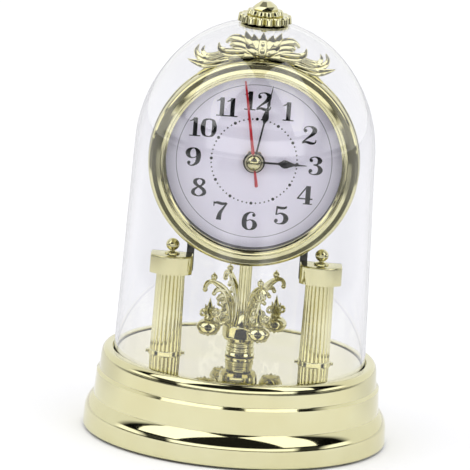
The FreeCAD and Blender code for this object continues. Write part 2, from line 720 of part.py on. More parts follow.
def make_battery_door():
    length = cell_room - s.door_slack
    front = s.cell_box_place - cell_space + s.door_slack
    plate = box("door_plate", (-length, length), (front, door_pin_y),
                (door_bottom, door_bottom + s.door_thickness))
    reach = cell_room + s.door_pin_reach
    pin = cylinder("door_pin", s.door_pin_radius, 2 * reach, -reach, door_pin_y, door_middle, ALONG_X)
    grip = cylinder("door_grip", s.door_grip_radius, s.door_thickness, y=front, z=door_bottom - s.door_thickness / 2)
    cut("battery_door", fuse("door_blank", [plate, pin]), [grip])


def make_feet_and_screws():
    feet = []
    for number, angle in enumerate(around(4, 45.0), 1):
        x = s.foot_circle * cosine(angle)
        y = s.foot_circle * sine(angle)
        feet.append(cylinder(f"foot_{number}", s.foot_radius, s.foot_height, x, y, 0))
    fuse("base_feet", feet)
    screws = []
    for number, (x, y) in enumerate(screw_places(), 1):
        head_top = cover_bottom + s.screw_head_height + s.thread_slack
        head = cylinder(f"screw_head_{number}", s.screw_head_radius, s.screw_head_height,
                        x, y, head_top - s.screw_head_height)
        thread = cylinder(f"screw_thread_{number}", s.screw_radius, s.screw_length, x, y, head_top)
        screws += [head, thread]
    fuse("cover_screws", screws)


def make_cell(label, y, z):
    """A dry cell along X with its contact plates; the nub points to +X."""
    start = -(s.cell_length + s.cell_nub_length) / 2
    can = cylinder(label + "_can", s.cell_radius, s.cell_length, start, y, z, ALONG_X)
    nub = cylinder(label + "_nub", s.cell_nub_radius, s.cell_nub_length,
                   start + s.cell_length, y, z, ALONG_X)
    fuse(label, [can, nub])
    plates = []
    for name, side in SIDES.items():
        inner = cell_room - s.contact_thickness
        ends = (-cell_room, -inner) if side < 0 else (inner, cell_room)
        half = s.contact_width / 2
        plates.append(box(f"{label}_plate_{name}", ends, (y - half, y + half), (z - half, z + half)))
    return plates


def make_base_power():
    contacts = make_cell("base_battery", s.cell_box_place, cell_height)
    fuse("base_contacts", contacts)
    coil = cylinder("coil_blank", s.coil_radius, s.coil_height, z=floor_under - s.coil_height)
    bore = cylinder("coil_hole", s.coil_bore, s.coil_height, z=floor_under - s.coil_height)
    cut("drive_coil", coil, [bore])
    half_x = s.board_length / 2
    half_y = s.board_width / 2
    top = floor_under - s.coil_height
    box("drive_board", (-half_x, half_x), (-half_y, half_y), (top - s.board_thickness, top))


# Columns and what they carry

def make_column(name, side):
    x = column_x * side
    y = -s.column_forward
    foot = s.deck_top + s.plinth_height
    height = s.capital_bottom - foot
    outline = (
        (s.column_bore, 0),
        (s.column_foot_radius, 0),
        (s.column_top_radius, height),
        (s.column_bore, height),
    )
    body = turned(f"column_{name}", outline)
    fall = (s.column_foot_radius - s.column_top_radius).value
    tilt = math.degrees(math.atan2(fall, height.value))
    grooved(body, f"column_{name}", s.flute_radius, s.column_foot_radius, tilt, height, s.flute_count)
    put(body, x, y, foot)
    disc = cylinder(f"plinth_disc_{name}", s.plinth_radius, s.plinth_height, x, y, s.deck_top)
    reach = s.plinth_lug_reach
    half = s.plinth_lug_width / 2
    lugs = box(f"plinth_lugs_{name}", (x - reach, x + reach), (y - half, y + half),
               (s.deck_top, s.deck_top + s.plinth_height / 2))
    bore = cylinder(f"plinth_bore_{name}", s.column_bore, s.plinth_height, x, y, s.deck_top)
    cut(f"plinth_{name}", fuse(f"plinth_blank_{name}", [disc, lugs]), [bore])


def make_capital(name, side):
    x = column_x * side
    y = -s.column_forward
    half = s.capital_width / 2
    bow = s.capital_bow_width / 2
    rise = s.capital_bow - s.capital_front
    bow_radius = (bow * bow + rise * rise) / (2 * rise)
    outline = (
        (-half, s.capital_back),
        (-half, -s.capital_front),
        (-bow, -s.capital_front),
        (bow, -s.capital_front, bow_radius),
        (half, -s.capital_front),
        (half, s.capital_back),
    )
    block = put(padded(f"capital_block_{name}", outline, "XY_Plane", s.capital_height), x, y, s.capital_bottom)
    tie = cylinder(f"capital_tie_{name}", s.tie_radius + s.thread_slack, s.tie_reach + s.overrun,
                   x, y, s.capital_bottom - s.overrun)
    spigot = cylinder(f"capital_spigot_{name}", s.ball_stem_radius, s.ball_collar_height,
                      x, y, capital_top - s.ball_collar_height)
    cut(f"capital_{name}", block, [tie, spigot] + support_screw_holes(name, side, "capital"))


def make_column_ball(name, side):
    stem = s.ball_stem_radius
    drop = root(s.ball_radius * s.ball_radius - stem * stem)
    collar_top = capital_top + s.ball_collar_height
    outline = (
        (0, capital_top - s.ball_collar_height),
        (stem - s.thread_slack, capital_top - s.ball_collar_height),
        (stem - s.thread_slack, capital_top),
        (s.ball_collar_radius, capital_top),
        (s.ball_collar_radius, collar_top - s.ball_collar_height / 3),
        (s.ball_collar_radius - s.ball_collar_height / 3, collar_top),
        (stem, collar_top),
        (stem, s.ball_height - drop),
        (s.ball_radius, s.ball_height, s.ball_radius),
        (0, s.ball_height + s.ball_radius, s.ball_radius),
    )
    put(turned(f"column_ball_{name}", outline), column_x * side, -s.column_forward, 0)


support_front = s.capital_back - s.column_forward
support_back = support_front + s.support_depth


def support_ends(side):
    """The inner and outer X of a support strip, lowest first."""
    outer = column_x - s.capital_width / 2 + s.support_overlap
    inner = outer - s.support_width
    return (inner, outer) if side > 0 else (-outer, -inner)


def support_screw_places(side):
    ends = support_ends(side)
    middle = (ends[0] + ends[1]) / 2
    return [(middle, s.capital_bottom + s.capital_height * share) for share in (1 / 4, 3 / 4)]


def support_screw_holes(name, side, label):
    length = s.support_depth + s.support_screw_grip + s.overrun
    holes = []
    for number, (x, z) in enumerate(support_screw_places(side), 1):
        radius = s.support_screw_radius + s.thread_slack
        start = support_front - s.support_screw_grip
        holes.append(cylinder(f"{label}_screw_hole_{name}_{number}", radius, length, x, start, z, ALONG_Y))
    return holes


def make_support(name, side):
    ends = support_ends(side)
    strip = box(f"support_strip_{name}", ends, (support_front, support_back),
                (s.capital_bottom, s.head_height))
    case = cylinder(f"support_saddle_{name}", s.case_radius + s.support_gap,
                    s.support_depth + 2 * s.overrun, y=support_front - s.overrun, z=s.head_height, turn=ALONG_Y)
    cut(f"support_{name}", strip, [case] + support_screw_holes(name, side, "support"))


def make_fasteners():
    ties = []
    for number, (x, y) in enumerate(tie_places(), 1):
        ties.append(cylinder(f"tie_head_{number}", s.tie_head_radius, s.tie_head_height,
                             x, y, floor_under - s.tie_head_height))
        ties.append(cylinder(f"tie_shank_{number}", s.tie_radius, tie_top - floor_under, x, y, floor_under))
    fuse("tie_screws", ties)
    screws = []
    for name, side in SIDES.items():
        for number, (x, z) in enumerate(support_screw_places(side), 1):
            screws.append(cylinder(f"support_head_{name}_{number}", s.support_screw_head,
                                   s.support_screw_head_height, x, support_back, z, ALONG_Y))
            length = s.support_depth + s.support_screw_grip
            screws.append(cylinder(f"support_shank_{name}_{number}", s.support_screw_radius, length,
                                   x, support_front - s.support_screw_grip, z, ALONG_Y))
    fuse("support_screws", screws)


# Head: everything here is turned about the line through the dial's centre, along Y

case_inner = s.case_radius - s.case_wall
lip_radius = case_inner - s.case_lip
dial_back = s.dial_front - s.dial_thickness
cover_seat = s.case_back - s.back_cover_thickness


def head_turned(label, outline):
    return put(turned(label, outline, "XY_Plane"), z=s.head_height)


def make_case_body():
    outline = (
        (case_inner, -s.case_front),
        (case_inner, -dial_back),
        (lip_radius, -dial_back),
        (lip_radius, s.case_lip_thickness - dial_back),
        (case_inner, s.case_lip_thickness - dial_back),
        (case_inner, cover_seat - s.case_lip_thickness),
        (lip_radius, cover_seat - s.case_lip_thickness),
        (lip_radius, cover_seat),
        (case_inner, cover_seat),
        (case_inner, s.case_back),
        (s.case_radius, s.case_back),
        (s.case_radius, s.case_flange_thickness - s.case_front),
        (s.case_flange_radius, s.case_flange_thickness - s.case_front),
        (s.case_flange_radius, -s.case_front),
    )
    head_turned("case_body", outline)


def make_back_cover():
    disc = cylinder("back_disc", case_inner - s.seat_slack, s.back_cover_thickness,
                    y=cover_seat, z=s.head_height, turn=ALONG_Y)
    half = s.back_window / 2
    window = box("back_window_form", (-half, half), (cover_seat - s.overrun, s.case_back + s.overrun),
                 (s.head_height - half, s.head_height + half))
    cut("back_cover", disc, [window])


# Depths of the bezel's inner steps, as shares of one step's depth.
BEZEL_STEP_SHARES = (0.2, 1.0, 1.2, 2.0, 2.5)


def make_bezel():
    first = s.bezel_crown_radius - s.bezel_step_width / 2
    second = first - s.bezel_step_width
    front = s.bezel_front
    falls = [s.bezel_step_depth * share for share in BEZEL_STEP_SHARES]
    outline = (
        (s.lens_edge + s.seat_slack, -s.case_front),
        (s.lens_edge + s.seat_slack, -s.bezel_lip_back),
        (s.bezel_opening, -s.bezel_lip_back),
        (s.bezel_opening, -(front - falls[4])),
        (second, -(front - falls[3])),
        (second, -(front - falls[2])),
        (first, -(front - falls[1])),
        (first, -(front - falls[0])),
        (s.bezel_crown_radius, -front),
        (s.bezel_radius, -(s.bezel_front - s.bezel_roll), s.bezel_roll),
        (s.bezel_radius, -s.case_front),
    )
    head_turned("bezel", outline)


def make_lens():
    half = s.lens_dome_radius
    inner_half = half - s.lens_thickness / 2
    outer_radius = (half * half + s.lens_bulge * s.lens_bulge) / (2 * s.lens_bulge)
    inner_radius = (inner_half * inner_half + s.lens_bulge * s.lens_bulge) / (2 * s.lens_bulge)
    front = s.bezel_lip_back
    back = front - s.lens_thickness
    outline = (
        (0, -(front + s.lens_bulge)),
        (half, -front, outer_radius),
        (s.lens_edge, -front),
        (s.lens_edge, -back),
        (inner_half, -back),
        (0, -(back + s.lens_bulge), -inner_radius),
    )
    head_turned("lens", outline)


def make_spacer_and_dial():
    back = s.bezel_lip_back - s.lens_thickness
    outer = s.lens_edge
    spacer = (
        (outer - s.spacer_wall, -back),
        (outer, -back),
        (outer, -s.dial_front),
        (outer - s.spacer_wall, -s.dial_front),
    )
    head_turned("lens_spacer", spacer)
    hole = s.bush_radius + s.turn_slack
    edge = case_inner - s.seat_slack
    dial = (
        (hole, -s.dial_front),
        (edge, -s.dial_front),
        (edge, -dial_back),
        (hole, -dial_back),
    )
    head_turned("dial", dial)


def make_movement():
    half = s.movement_size / 2
    back = s.movement_depth - dial_back
    block = box("movement_block", (-half, half), (-dial_back, back), (s.head_height - half, s.head_height + half))
    bush = cylinder("movement_bush", s.bush_radius, s.dial_thickness + s.bush_reach,
                    y=-(s.dial_front + s.bush_reach), z=s.head_height, turn=ALONG_Y)
    cell_z = s.head_height - s.movement_drop
    cell_y = s.movement_web + s.cell_radius + s.cell_slack - dial_back
    tray = box("movement_tray", (-cell_room, cell_room), (cell_y - cell_space, back + s.overrun),
               (cell_z - cell_space, cell_z + cell_space))
    bore = cylinder("movement_bore", s.bush_bore, s.dial_thickness + s.bush_reach + s.bush_bore_depth,
                    y=-(s.dial_front + s.bush_reach), z=s.head_height, turn=ALONG_Y)
    knob_hole = cylinder("movement_knob_hole", s.knob_shaft_radius + s.turn_slack, s.knob_shaft_length + s.overrun,
                         y=back - s.knob_shaft_length, z=s.head_height + s.knob_rise, turn=ALONG_Y)
    cut("movement", fuse("movement_blank", [block, bush]), [tray, bore, knob_hole])
    fuse("clock_contacts", make_cell("clock_battery", cell_y, cell_z))
    nut = new("Part::Prism", "nut_blank")
    nut.Polygon = 6
    bind(nut, Circumradius=s.nut_across_corners / 2, Height=s.nut_height)
    put(nut, 0, -(s.dial_front + s.nut_height), s.head_height, ALONG_Y)
    hole = cylinder("nut_hole", s.bush_radius + s.thread_slack, s.nut_height,
                    y=-(s.dial_front + s.nut_height), z=s.head_height, turn=ALONG_Y)
    cut("bush_nut", nut, [hole])


arbor_back = dial_back - s.bush_bore_depth + s.turn_slack


def arbor(label, radius, bore, front):
    """A tube, or with bore None a pin, from inside the movement to the given depth."""
    length = front - arbor_back
    place = {"y": -front, "z": s.head_height, "turn": ALONG_Y}
    if bore is None:
        return cylinder(label, radius, length, **place)
    outside = cylinder(label + "_outside", radius, length, **place)
    return cut(label, outside, [cylinder(label + "_inside", bore, length, **place)])


# Shares of a spade hand: where its swelling starts and ends, how wide its tip is and how round its sides are.
swell_start_share = 0.62
swell_end_share = 0.45
tip_width_share = 0.16
low_curve_share = 1.15
high_curve_share = 1.3


def spade_outline(hub, stem, spade, spade_place, reach):
    """A spade hand that points to twelve, without its hub."""
    half_stem = stem / 2
    half_spade = spade / 2
    start = spade_place * swell_start_share
    end = spade_place + (reach - spade_place) * swell_end_share
    half_tip = stem * tip_width_share
    low_curve = (spade_place - start) * low_curve_share
    high_curve = (end - spade_place) * high_curve_share
    return (
        (-half_stem, hub / 2),
        (half_stem, hub / 2),
        (half_stem, start),
        (half_spade, spade_place, -low_curve),
        (half_stem, end, high_curve),
        (half_tip, reach),
        (-half_tip, reach),
        (-half_stem, end),
        (-half_spade, spade_place, high_curve),
        (-half_stem, start, -low_curve),
    )


def place_hand(item, depth, angle):
    """Turn a hand drawn at twelve clockwise about the dial's centre."""
    item.Placement = Placement(Vector(0, 0, 0), Rotation(Vector(0, 1, 0), angle.value))
    return put(item, 0, -depth, s.head_height)


def make_hand(label, outline, hub, bore, depth, angle):
    """A flat hand with a round hub; depth is its front face before the axis."""
    blade = padded(label + "_blade", outline, "XZ_Plane", s.hand_thickness)
    place_hand(blade, depth - s.hand_thickness, angle)
    place = {"y": -depth, "z": s.head_height, "turn": ALONG_Y}
    disc = cylinder(label + "_hub", hub, s.hand_thickness, **place)
    hole = cylinder(label + "_hole", bore, s.hand_thickness, **place)
    cut(label, fuse(label + "_blank", [blade, disc]), [hole])


def make_hands():
    hour = spade_outline(s.hour_hub, s.hour_stem, s.hour_spade, s.hour_spade_place, s.hour_reach)
    make_hand("hour_hand", hour, s.hour_hub, s.pipe_radius, s.hour_depth, s.hour_angle)
    minute = spade_outline(s.minute_hub, s.minute_stem, s.minute_spade, s.minute_spade_place, s.minute_reach)
    make_hand("minute_hand", minute, s.minute_hub, s.arbor_radius, s.minute_depth, s.minute_angle)
    tail = s.second_tail
    half = s.second_width / 2
    half_tail = s.second_tail_width / 2
    second = (
        (-half_tail, -tail),
        (half_tail, -tail),
        (half, 0),
        (half / 2, s.second_reach),
        (-half / 2, s.second_reach),
        (-half, 0),
    )
    make_hand("second_hand", second, s.cap_radius / 2, s.pin_radius, s.second_depth, s.second_angle)
    arbor("hour_pipe", s.pipe_radius, s.pipe_bore, s.hour_depth)
    arbor("minute_arbor", s.arbor_radius, s.arbor_bore, s.minute_depth)
    arbor("second_pin", s.pin_radius, None, s.second_depth)
    curve = (s.cap_radius * s.cap_radius + s.cap_height * s.cap_height) / (2 * s.cap_height)
    cap = (
        (0, -(s.second_depth + s.cap_height)),
        (s.cap_radius, -s.second_depth, curve),
        (0, -s.second_depth),
    )
    head_turned("hand_cap", cap)


def make_set_knob():
    back = s.movement_depth - dial_back
    outline = (
        (0, -s.knob_shaft_length),
        (s.knob_shaft_radius, -s.knob_shaft_length),
        (s.knob_shaft_radius, s.knob_lift),
        (s.knob_radius, s.knob_lift),
        (s.knob_radius, s.knob_height),
        (0, s.knob_height),
    )
    body = turned("set_knob", outline)
    grooved(body, "set_knob", s.knob_grip_radius, s.knob_radius, 0.0, s.knob_height, s.knob_grip_count)
    put(body, 0, back, s.head_height + s.knob_rise, ALONG_Y)


# Ornament on the bezel, a row of leaves on a rail. A leaf's row gives, in degrees from the top round the bezel,
# where its root starts and ends and where its tip is; then the tip's height as a share of the ornament's height;
# then the radius of its inner and outer side as shares of that side's straight length, negative where the side
# turns clockwise on the right half; then its thickness as a share of the ornament's.
CREST_LEAF_SHARES = (
    (-4.2, 4.2, 0.0, 0.98, -0.95, -0.95, 0.86),
    (1.0, 8.0, 7.4, 1.0, -1.4, -0.9, 0.70),
    (4.0, 12.0, 14.2, 0.84, -1.1, -0.8, 0.78),
    (10.0, 18.5, 19.6, 0.78, -1.1, -0.8, 0.66),
    (16.5, 30.0, 27.0, 0.92, 0.60, -0.75, 0.62),
    (23.0, 34.5, 36.0, 0.68, 1.2, -1.1, 0.78),
)
crest_root_share = 0.06
crest_rail_share = 0.6


def side_radius(start, end, share, side):
    """The radius of a leaf's side from start to end; the left half of the ornament mirrors the right one."""
    across = end[0] - start[0]
    up = end[1] - start[1]
    return root(across * across + up * up) * share * side


def make_leaf(label, row, side):
    root_start, root_end, tip_angle, tip_share, inner_share, outer_share, thickness_share = row
    low = s.bezel_radius + s.crest_height * crest_root_share
    high = s.bezel_radius + s.crest_height * tip_share
    root_angle = (root_start + root_end) / 2
    root_x = side * s.bezel_radius * sine(root_angle)
    root_z = s.bezel_radius * cosine(root_angle)
    corners = []
    for radius, angle in ((low, root_start), (high, tip_angle), (low, root_end)):
        corners.append((side * radius * sine(angle) - root_x, radius * cosine(angle) - root_z))
    inner = side_radius(corners[0], corners[1], inner_share, side)
    outer = side_radius(corners[1], corners[2], outer_share, side)
    outline = (corners[0], corners[1] + (inner,), corners[2] + (outer,))
    thickness = s.crest_thickness * thickness_share
    leaf = padded(label, outline, "XZ_Plane", thickness, both_sides=True)
    turn = Rotation(Vector(1, 0, 0), -s.crest_lean.value)
    return put(leaf, root_x, -(s.crest_front - s.crest_thickness / 2), s.head_height + root_z, turn)


def make_crest():
    inner = s.bezel_radius + s.crest_gap
    outer = inner + s.crest_rail
    angle = s.crest_rail_angle
    rail = padded("crest_rail_form", (
        (inner * sine(angle), inner * cosine(angle)),
        (outer * sine(angle), outer * cosine(angle)),
        (-outer * sine(angle), outer * cosine(angle), outer),
        (-inner * sine(angle), inner * cosine(angle)),
    ), "XZ_Plane", s.crest_thickness * crest_rail_share)
    back = s.crest_front - s.crest_thickness
    put(rail, 0, -back, s.head_height)
    leaves = [rail]
    for number, row in enumerate(CREST_LEAF_SHARES, 1):
        leaves.append(make_leaf(f"leaf_{number}_right", row, 1))
        if row[2] != 0.0:
            leaves.append(make_leaf(f"leaf_{number}_left", row, -1))
    seat = cylinder("crest_seat", inner, s.crest_thickness + 2 * s.overrun,
                    y=-(s.crest_front + s.overrun), z=s.head_height, turn=ALONG_Y)
    behind = cylinder("crest_flange_seat", s.case_flange_radius + s.crest_gap, s.case_front + s.case_back,
                      y=-(s.case_front + s.crest_gap), z=s.head_height, turn=ALONG_Y)
    cut("crest", fuse("crest_blank", leaves), [seat, behind])


# Dome and finial

def dome_curve(grow):
    """Half outline of the dome's form, grown outwards by the given amount, from foot to top."""
    rise = s.dome_shoulder - floor_top
    draft = s.dome_foot_radius - s.dome_shoulder_radius
    slant = root(rise * rise + draft * draft)
    lean_sine = draft / slant
    lean_cosine = rise / slant
    join_sine = sine(s.dome_join_angle)
    join_cosine = cosine(s.dome_join_angle)
    height = s.dome_top - s.dome_shoulder
    share = (1 - join_sine) / join_cosine
    low_radius = (height - s.dome_shoulder_radius * share) / (
        join_sine - lean_sine - share * (lean_cosine - join_cosine))
    low_x = s.dome_shoulder_radius - low_radius * lean_cosine
    low_z = s.dome_shoulder - low_radius * lean_sine
    high_radius = (low_x + low_radius * join_cosine) / join_cosine
    return (
        (0, floor_top),
        (s.dome_foot_radius + grow / lean_cosine, floor_top),
        (s.dome_shoulder_radius + grow * lean_cosine, s.dome_shoulder + grow * lean_sine),
        (low_x + (low_radius + grow) * join_cosine, low_z + (low_radius + grow) * join_sine, low_radius + grow),
        (0, s.dome_top + grow, high_radius + grow),
    )


def make_dome():
    outside = turned("dome_outside", dome_curve(as_size(0)))
    inside = turned("dome_inside", dome_curve(-s.dome_wall))
    hole = cylinder("dome_hole", s.stud_radius + s.thread_slack, s.dome_wall + 2 * s.overrun,
                    z=s.dome_top - s.dome_wall - s.overrun)
    cut("dome", outside, [inside, hole])


def lobed(label, radius, lobe_radius, bottom, top, count):
    circle = radius - lobe_radius
    lobes = [cylinder(label + "_core", circle, top - bottom, z=bottom)]
    for number, angle in enumerate(around(count.value), 1):
        lobes.append(cylinder(f"{label}_lobe_{number}", lobe_radius, top - bottom,
                              circle * cosine(angle), circle * sine(angle), bottom))
    return fuse(label, lobes)


def make_finial():
    stud = s.stud_radius + s.thread_slack
    seat = turned("crown_seat", dome_curve(s.finial_gap))
    crown = lobed("crown_form", s.crown_radius, s.crown_lobe_radius, s.crown_bottom, s.crown_top, s.crown_lobe_count)
    tier = lobed("tier_form", s.tier_radius, s.tier_lobe_radius, s.crown_top, s.tier_top, s.crown_lobe_count)
    bore = cylinder("crown_bore", stud, s.tier_top - s.crown_bottom, z=s.crown_bottom)
    cut("finial_crown", fuse("crown_blank", [crown, tier]), [seat, bore])
    rings = []
    heights = (s.tier_top, s.tier_top + (s.knob_shoulder - s.tier_top) / 3, s.knob_shoulder, s.knob_top)
    radii = (s.knob_foot_radius, s.knob_foot_radius, s.knob_waist_radius, s.knob_top_radius)
    for number, (height, radius) in enumerate(zip(heights, radii), 1):
        ring = new("Part::RegularPolygon", f"knob_ring_{number}")
        bind(ring, Circumradius=radius, Polygon=s.knob_facets)
        rings.append(put(ring, z=height))
    knob = new("Part::Loft", "knob_form")
    knob.Sections = rings
    knob.Solid = True
    knob.Ruled = True
    shank = cylinder("finial_stud", s.stud_radius, s.tier_top - s.stud_foot, z=s.stud_foot)
    fuse("finial_knob", [knob, shank])
    disc = cylinder("washer_disc", s.washer_radius, s.dome_top - s.washer_bottom, z=s.washer_bottom)
    under = turned("washer_seat", dome_curve(-s.dome_wall - s.finial_gap))
    hole = cylinder("washer_hole", stud, s.dome_top - s.washer_bottom, z=s.washer_bottom)
    cut("finial_washer", common("washer_blank", disc, under), [hole])


# Pendulum: it stands on the needle's point and turns about it

bowl_bottom = s.deck_top + s.swing_gap
bearing_seat = s.needle_top + s.bearing_gap


def make_needle():
    outline = (
        (0, floor_under),
        (s.needle_radius, floor_under),
        (s.needle_radius, s.needle_top - s.needle_point),
        (0, s.needle_top),
    )
    turned("pivot_needle", outline)


def make_tube():
    outline = (
        (s.tube_bore, s.bowl_top),
        (s.bell_radius, s.bowl_top),
        (s.tube_radius, s.bell_top, -s.bell_curve),
        (s.tube_radius, s.tube_top),
        (s.tube_bore, s.tube_top),
    )
    body = turned("pendulum_tube", outline)
    length = s.tube_top - s.bell_top
    tool = body.newObject("PartDesign::SubtractiveCylinder", "tube_groove")
    tool.AttachmentSupport = [(origin_feature(body, "XY_Plane"), "")]
    tool.MapMode = "FlatFace"
    bind(tool, Radius=s.tube_flute_radius, Height=length)
    tool.setExpression("AttachmentOffset.Base.x", s.tube_radius.text)
    tool.setExpression("AttachmentOffset.Base.z", s.bell_top.text)
    pattern = body.newObject("PartDesign::PolarPattern", "tube_grooves")
    pattern.Originals = [tool]
    pattern.Axis = (origin_feature(body, "Z_Axis"), [""])
    pattern.Angle = 360
    bind(pattern, Occurrences=s.tube_flute_count)
    body.Tip = pattern
    bearing = (
        (0, bearing_seat),
        (s.tube_bore - s.turn_slack, bearing_seat),
        (s.tube_bore - s.turn_slack, s.tube_top),
        (s.tube_radius, s.tube_top),
        (s.tube_radius, s.tube_top + s.bearing_flange),
        (0, s.tube_top + s.bearing_flange),
    )
    turned("pendulum_bearing", bearing)


# How round the rings and the bowl are, as shares of their height or width.
ring_curve_share = 0.8
neck_curve_share = 1.4
bowl_curve_share = 1.3


def make_bowl():
    pocket = s.magnet_radius + s.magnet_gap
    ring_top = bowl_bottom + s.foot_ring_height
    neck_top = s.bowl_foot
    belly = s.bowl_radius
    outline = (
        (s.magnet_bore, bowl_bottom + s.magnet_height + s.magnet_gap),
        (pocket, bowl_bottom + s.magnet_height + s.magnet_gap),
        (pocket, bowl_bottom),
        (s.foot_ring_radius, bowl_bottom),
        (s.foot_ring_radius, ring_top, s.foot_ring_height * ring_curve_share),
        (s.neck_radius, ring_top),
        (s.neck_radius, neck_top - s.foot_ring_height / 3, s.foot_ring_height * neck_curve_share),
        (s.bowl_waist, neck_top),
        (belly - s.bowl_lip, s.bowl_belly, (belly - s.bowl_waist) * bowl_curve_share),
        (belly - s.bowl_lip, s.bowl_top - s.bowl_lip * 2),
        (belly, s.bowl_top),
        (s.magnet_bore, s.bowl_top),
    )
    turned("pendulum_bowl", outline)
    magnet = (
        (s.magnet_bore, bowl_bottom),
        (s.magnet_radius, bowl_bottom),
        (s.magnet_radius, bowl_bottom + s.magnet_height),
        (s.magnet_bore, bowl_bottom + s.magnet_height),
    )
    turned("pendulum_magnet", magnet)


def polar(radius, angle):
    return radius * cosine(angle), radius * sine(angle)


def bend(label, centre, height, radius, tube, start, sweep, angle):
    """Part of a ring in the upright plane at the given angle; it starts at the angle start and turns by sweep."""
    ring = bind(new("Part::Torus", label), Radius1=radius, Radius2=tube, Angle3=sweep)
    upright = Rotation(Vector(0, 0, 1), angle).multiply(Rotation(Vector(1, 0, 0), 90))
    turn = upright.multiply(Rotation(Vector(0, 0, 1), start))
    x, y = polar(centre, angle)
    return put(ring, x, y, height, turn)


# Sizes of an arm's rod and scroll as shares of the branch's radius.
rod_share = 0.8
scroll_radius_share = 1.7
scroll_wire_share = 0.7
scroll_lift_share = 1.9


def make_arm(number, angle):
    tube = s.stem_radius
    foot = s.bowl_top + s.rod_lift
    pieces = []
    x, y = polar(s.stem_circle, angle)
    pieces.append(cylinder(f"arm_stem_{number}", tube, s.stem_bend_start - foot, x, y, foot))
    centre = s.stem_circle + s.stem_bend
    sweep = s.stem_bend_angle
    pieces.append(bend(f"arm_bend_{number}", centre, s.stem_bend_start, s.stem_bend, tube,
                       180.0 - sweep.value, sweep, angle))
    curl_centre = centre - (s.stem_bend - s.curl_radius) * cosine(sweep)
    curl_height = s.stem_bend_start + (s.stem_bend - s.curl_radius) * sine(sweep)
    start = 180.0 - sweep.value - s.curl_angle.value
    pieces.append(bend(f"arm_curl_{number}", curl_centre, curl_height, s.curl_radius, tube,
                       start, s.curl_angle, angle))
    berry = new("Part::Sphere", f"arm_berry_{number}")
    bind(berry, Radius=s.berry_radius)
    x, y = polar(s.berry_circle, angle)
    berry_height = curl_height + s.curl_radius + s.berry_radius
    pieces.append(put(berry, x, y, berry_height))
    rod_height = foot + tube
    x, y = polar(s.stem_circle, angle)
    reach = s.bob_circle - s.bob_radius - s.stem_circle - s.rod_lift
    turn = Rotation(Vector(0, 0, 1), angle).multiply(ALONG_X)
    pieces.append(cylinder(f"arm_rod_{number}", tube * rod_share, reach, x, y, rod_height, turn))
    x, y = polar(s.stem_circle + reach / 2, angle)
    scroll = bind(new("Part::Torus", f"arm_scroll_{number}"), Radius1=tube * scroll_radius_share,
                  Radius2=tube * scroll_wire_share)
    upright = Rotation(Vector(0, 0, 1), angle).multiply(Rotation(Vector(1, 0, 0), 90))
    pieces.append(put(scroll, x, y, rod_height + tube * scroll_lift_share, upright))
    fuse(f"pendulum_arm_{number}", pieces)


# The bud over a bob: where it is widest and how round it is below, as shares of its height.
bud_middle_share = 0.35
bud_curve_share = 0.23
bud_tip_share = 0.15


def make_bob(number, angle):
    nub = s.bob_nub
    rim = s.bob_rim_radius
    low = s.bob_rim_height
    shoulder = s.bob_radius - rim + root(rim * rim - low * low)
    collar_top = s.bob_cap + s.bob_collar_height
    bud_middle = collar_top + s.bud_height * bud_middle_share
    outline = (
        (0, -s.bob_cup - nub),
        (nub, -s.bob_cup, nub),
        (shoulder, -low),
        (shoulder, low, rim),
        (nub * 2, s.bob_cap),
        (s.bob_collar, s.bob_cap),
        (s.bob_collar, collar_top),
        (nub, collar_top),
        (s.bud_radius, bud_middle, s.bud_height * bud_curve_share),
        (s.bud_radius * bud_tip_share, collar_top + s.bud_height),
        (0, collar_top + s.bud_height),
    )
    x, y = polar(s.bob_circle, angle)
    put(turned(f"pendulum_bob_{number}", outline), x, y, s.bob_height)


PIECES = (
    "base_shell", "deck_plate", "bottom_cover", "battery_door", "base_feet", "cover_screws",
    "base_battery", "base_contacts", "drive_coil", "drive_board", "pivot_needle",
    "plinth_left", "plinth_right", "column_left", "column_right", "capital_left", "capital_right",
    "column_ball_left", "column_ball_right", "support_left", "support_right", "tie_screws", "support_screws",
    "case_body", "back_cover", "bezel", "lens", "lens_spacer", "dial", "crest",
    "movement", "clock_battery", "clock_contacts", "bush_nut", "set_knob",
    "hour_hand", "minute_hand", "second_hand", "hand_cap", "hour_pipe", "minute_arbor", "second_pin",
    "dome", "finial_crown", "finial_knob", "finial_washer",
    "pendulum_tube", "pendulum_bearing", "pendulum_bowl", "pendulum_magnet",
    "pendulum_arm_1", "pendulum_arm_2", "pendulum_arm_3", "pendulum_arm_4",
    "pendulum_bob_1", "pendulum_bob_2", "pendulum_bob_3", "pendulum_bob_4",
)


def build():
    make_base_shell()
    make_deck_plate()
    make_bottom_cover()
    make_battery_door()
    make_feet_and_screws()
    make_base_power()
    for name, side in SIDES.items():
        make_column(name, side)
        make_capital(name, side)
        make_column_ball(name, side)
        make_support(name, side)
    make_fasteners()
    make_case_body()
    make_back_cover()
    make_bezel()
    make_lens()
    make_spacer_and_dial()
    make_movement()
    make_hands()
    make_set_knob()
    make_crest()
    make_dome()
    make_finial()
    make_needle()
    make_tube()
    make_bowl()
    for number, angle in enumerate(around(s.arm_count.value, s.arm_angle.value), 1):
        make_arm(number, angle)
        make_bob(number, angle)
    doc.recompute()


def check_and_write():
    faults = [item.Label for item in doc.Objects if "Invalid" in item.State or "Error" in item.State]
    shapes = {}
    for label in PIECES:
        found = doc.getObjectsByLabel(label)
        shape = found[0].Shape if len(found) == 1 else None
        if shape is None or shape.isNull() or not shape.isValid() or not shape.Solids:
            faults.append(label)
        shapes[label] = shape
    if faults:
        raise RuntimeError("these did not build: " + ", ".join(faults))
    os.makedirs("parts", exist_ok=True)
    for label, shape in shapes.items():
        shape.exportStep(f"parts/{label}.step")
        print(f"{label}: {len(shape.Solids)} solids, {shape.Volume:.1f} cubic mm")


build()
check_and_write()
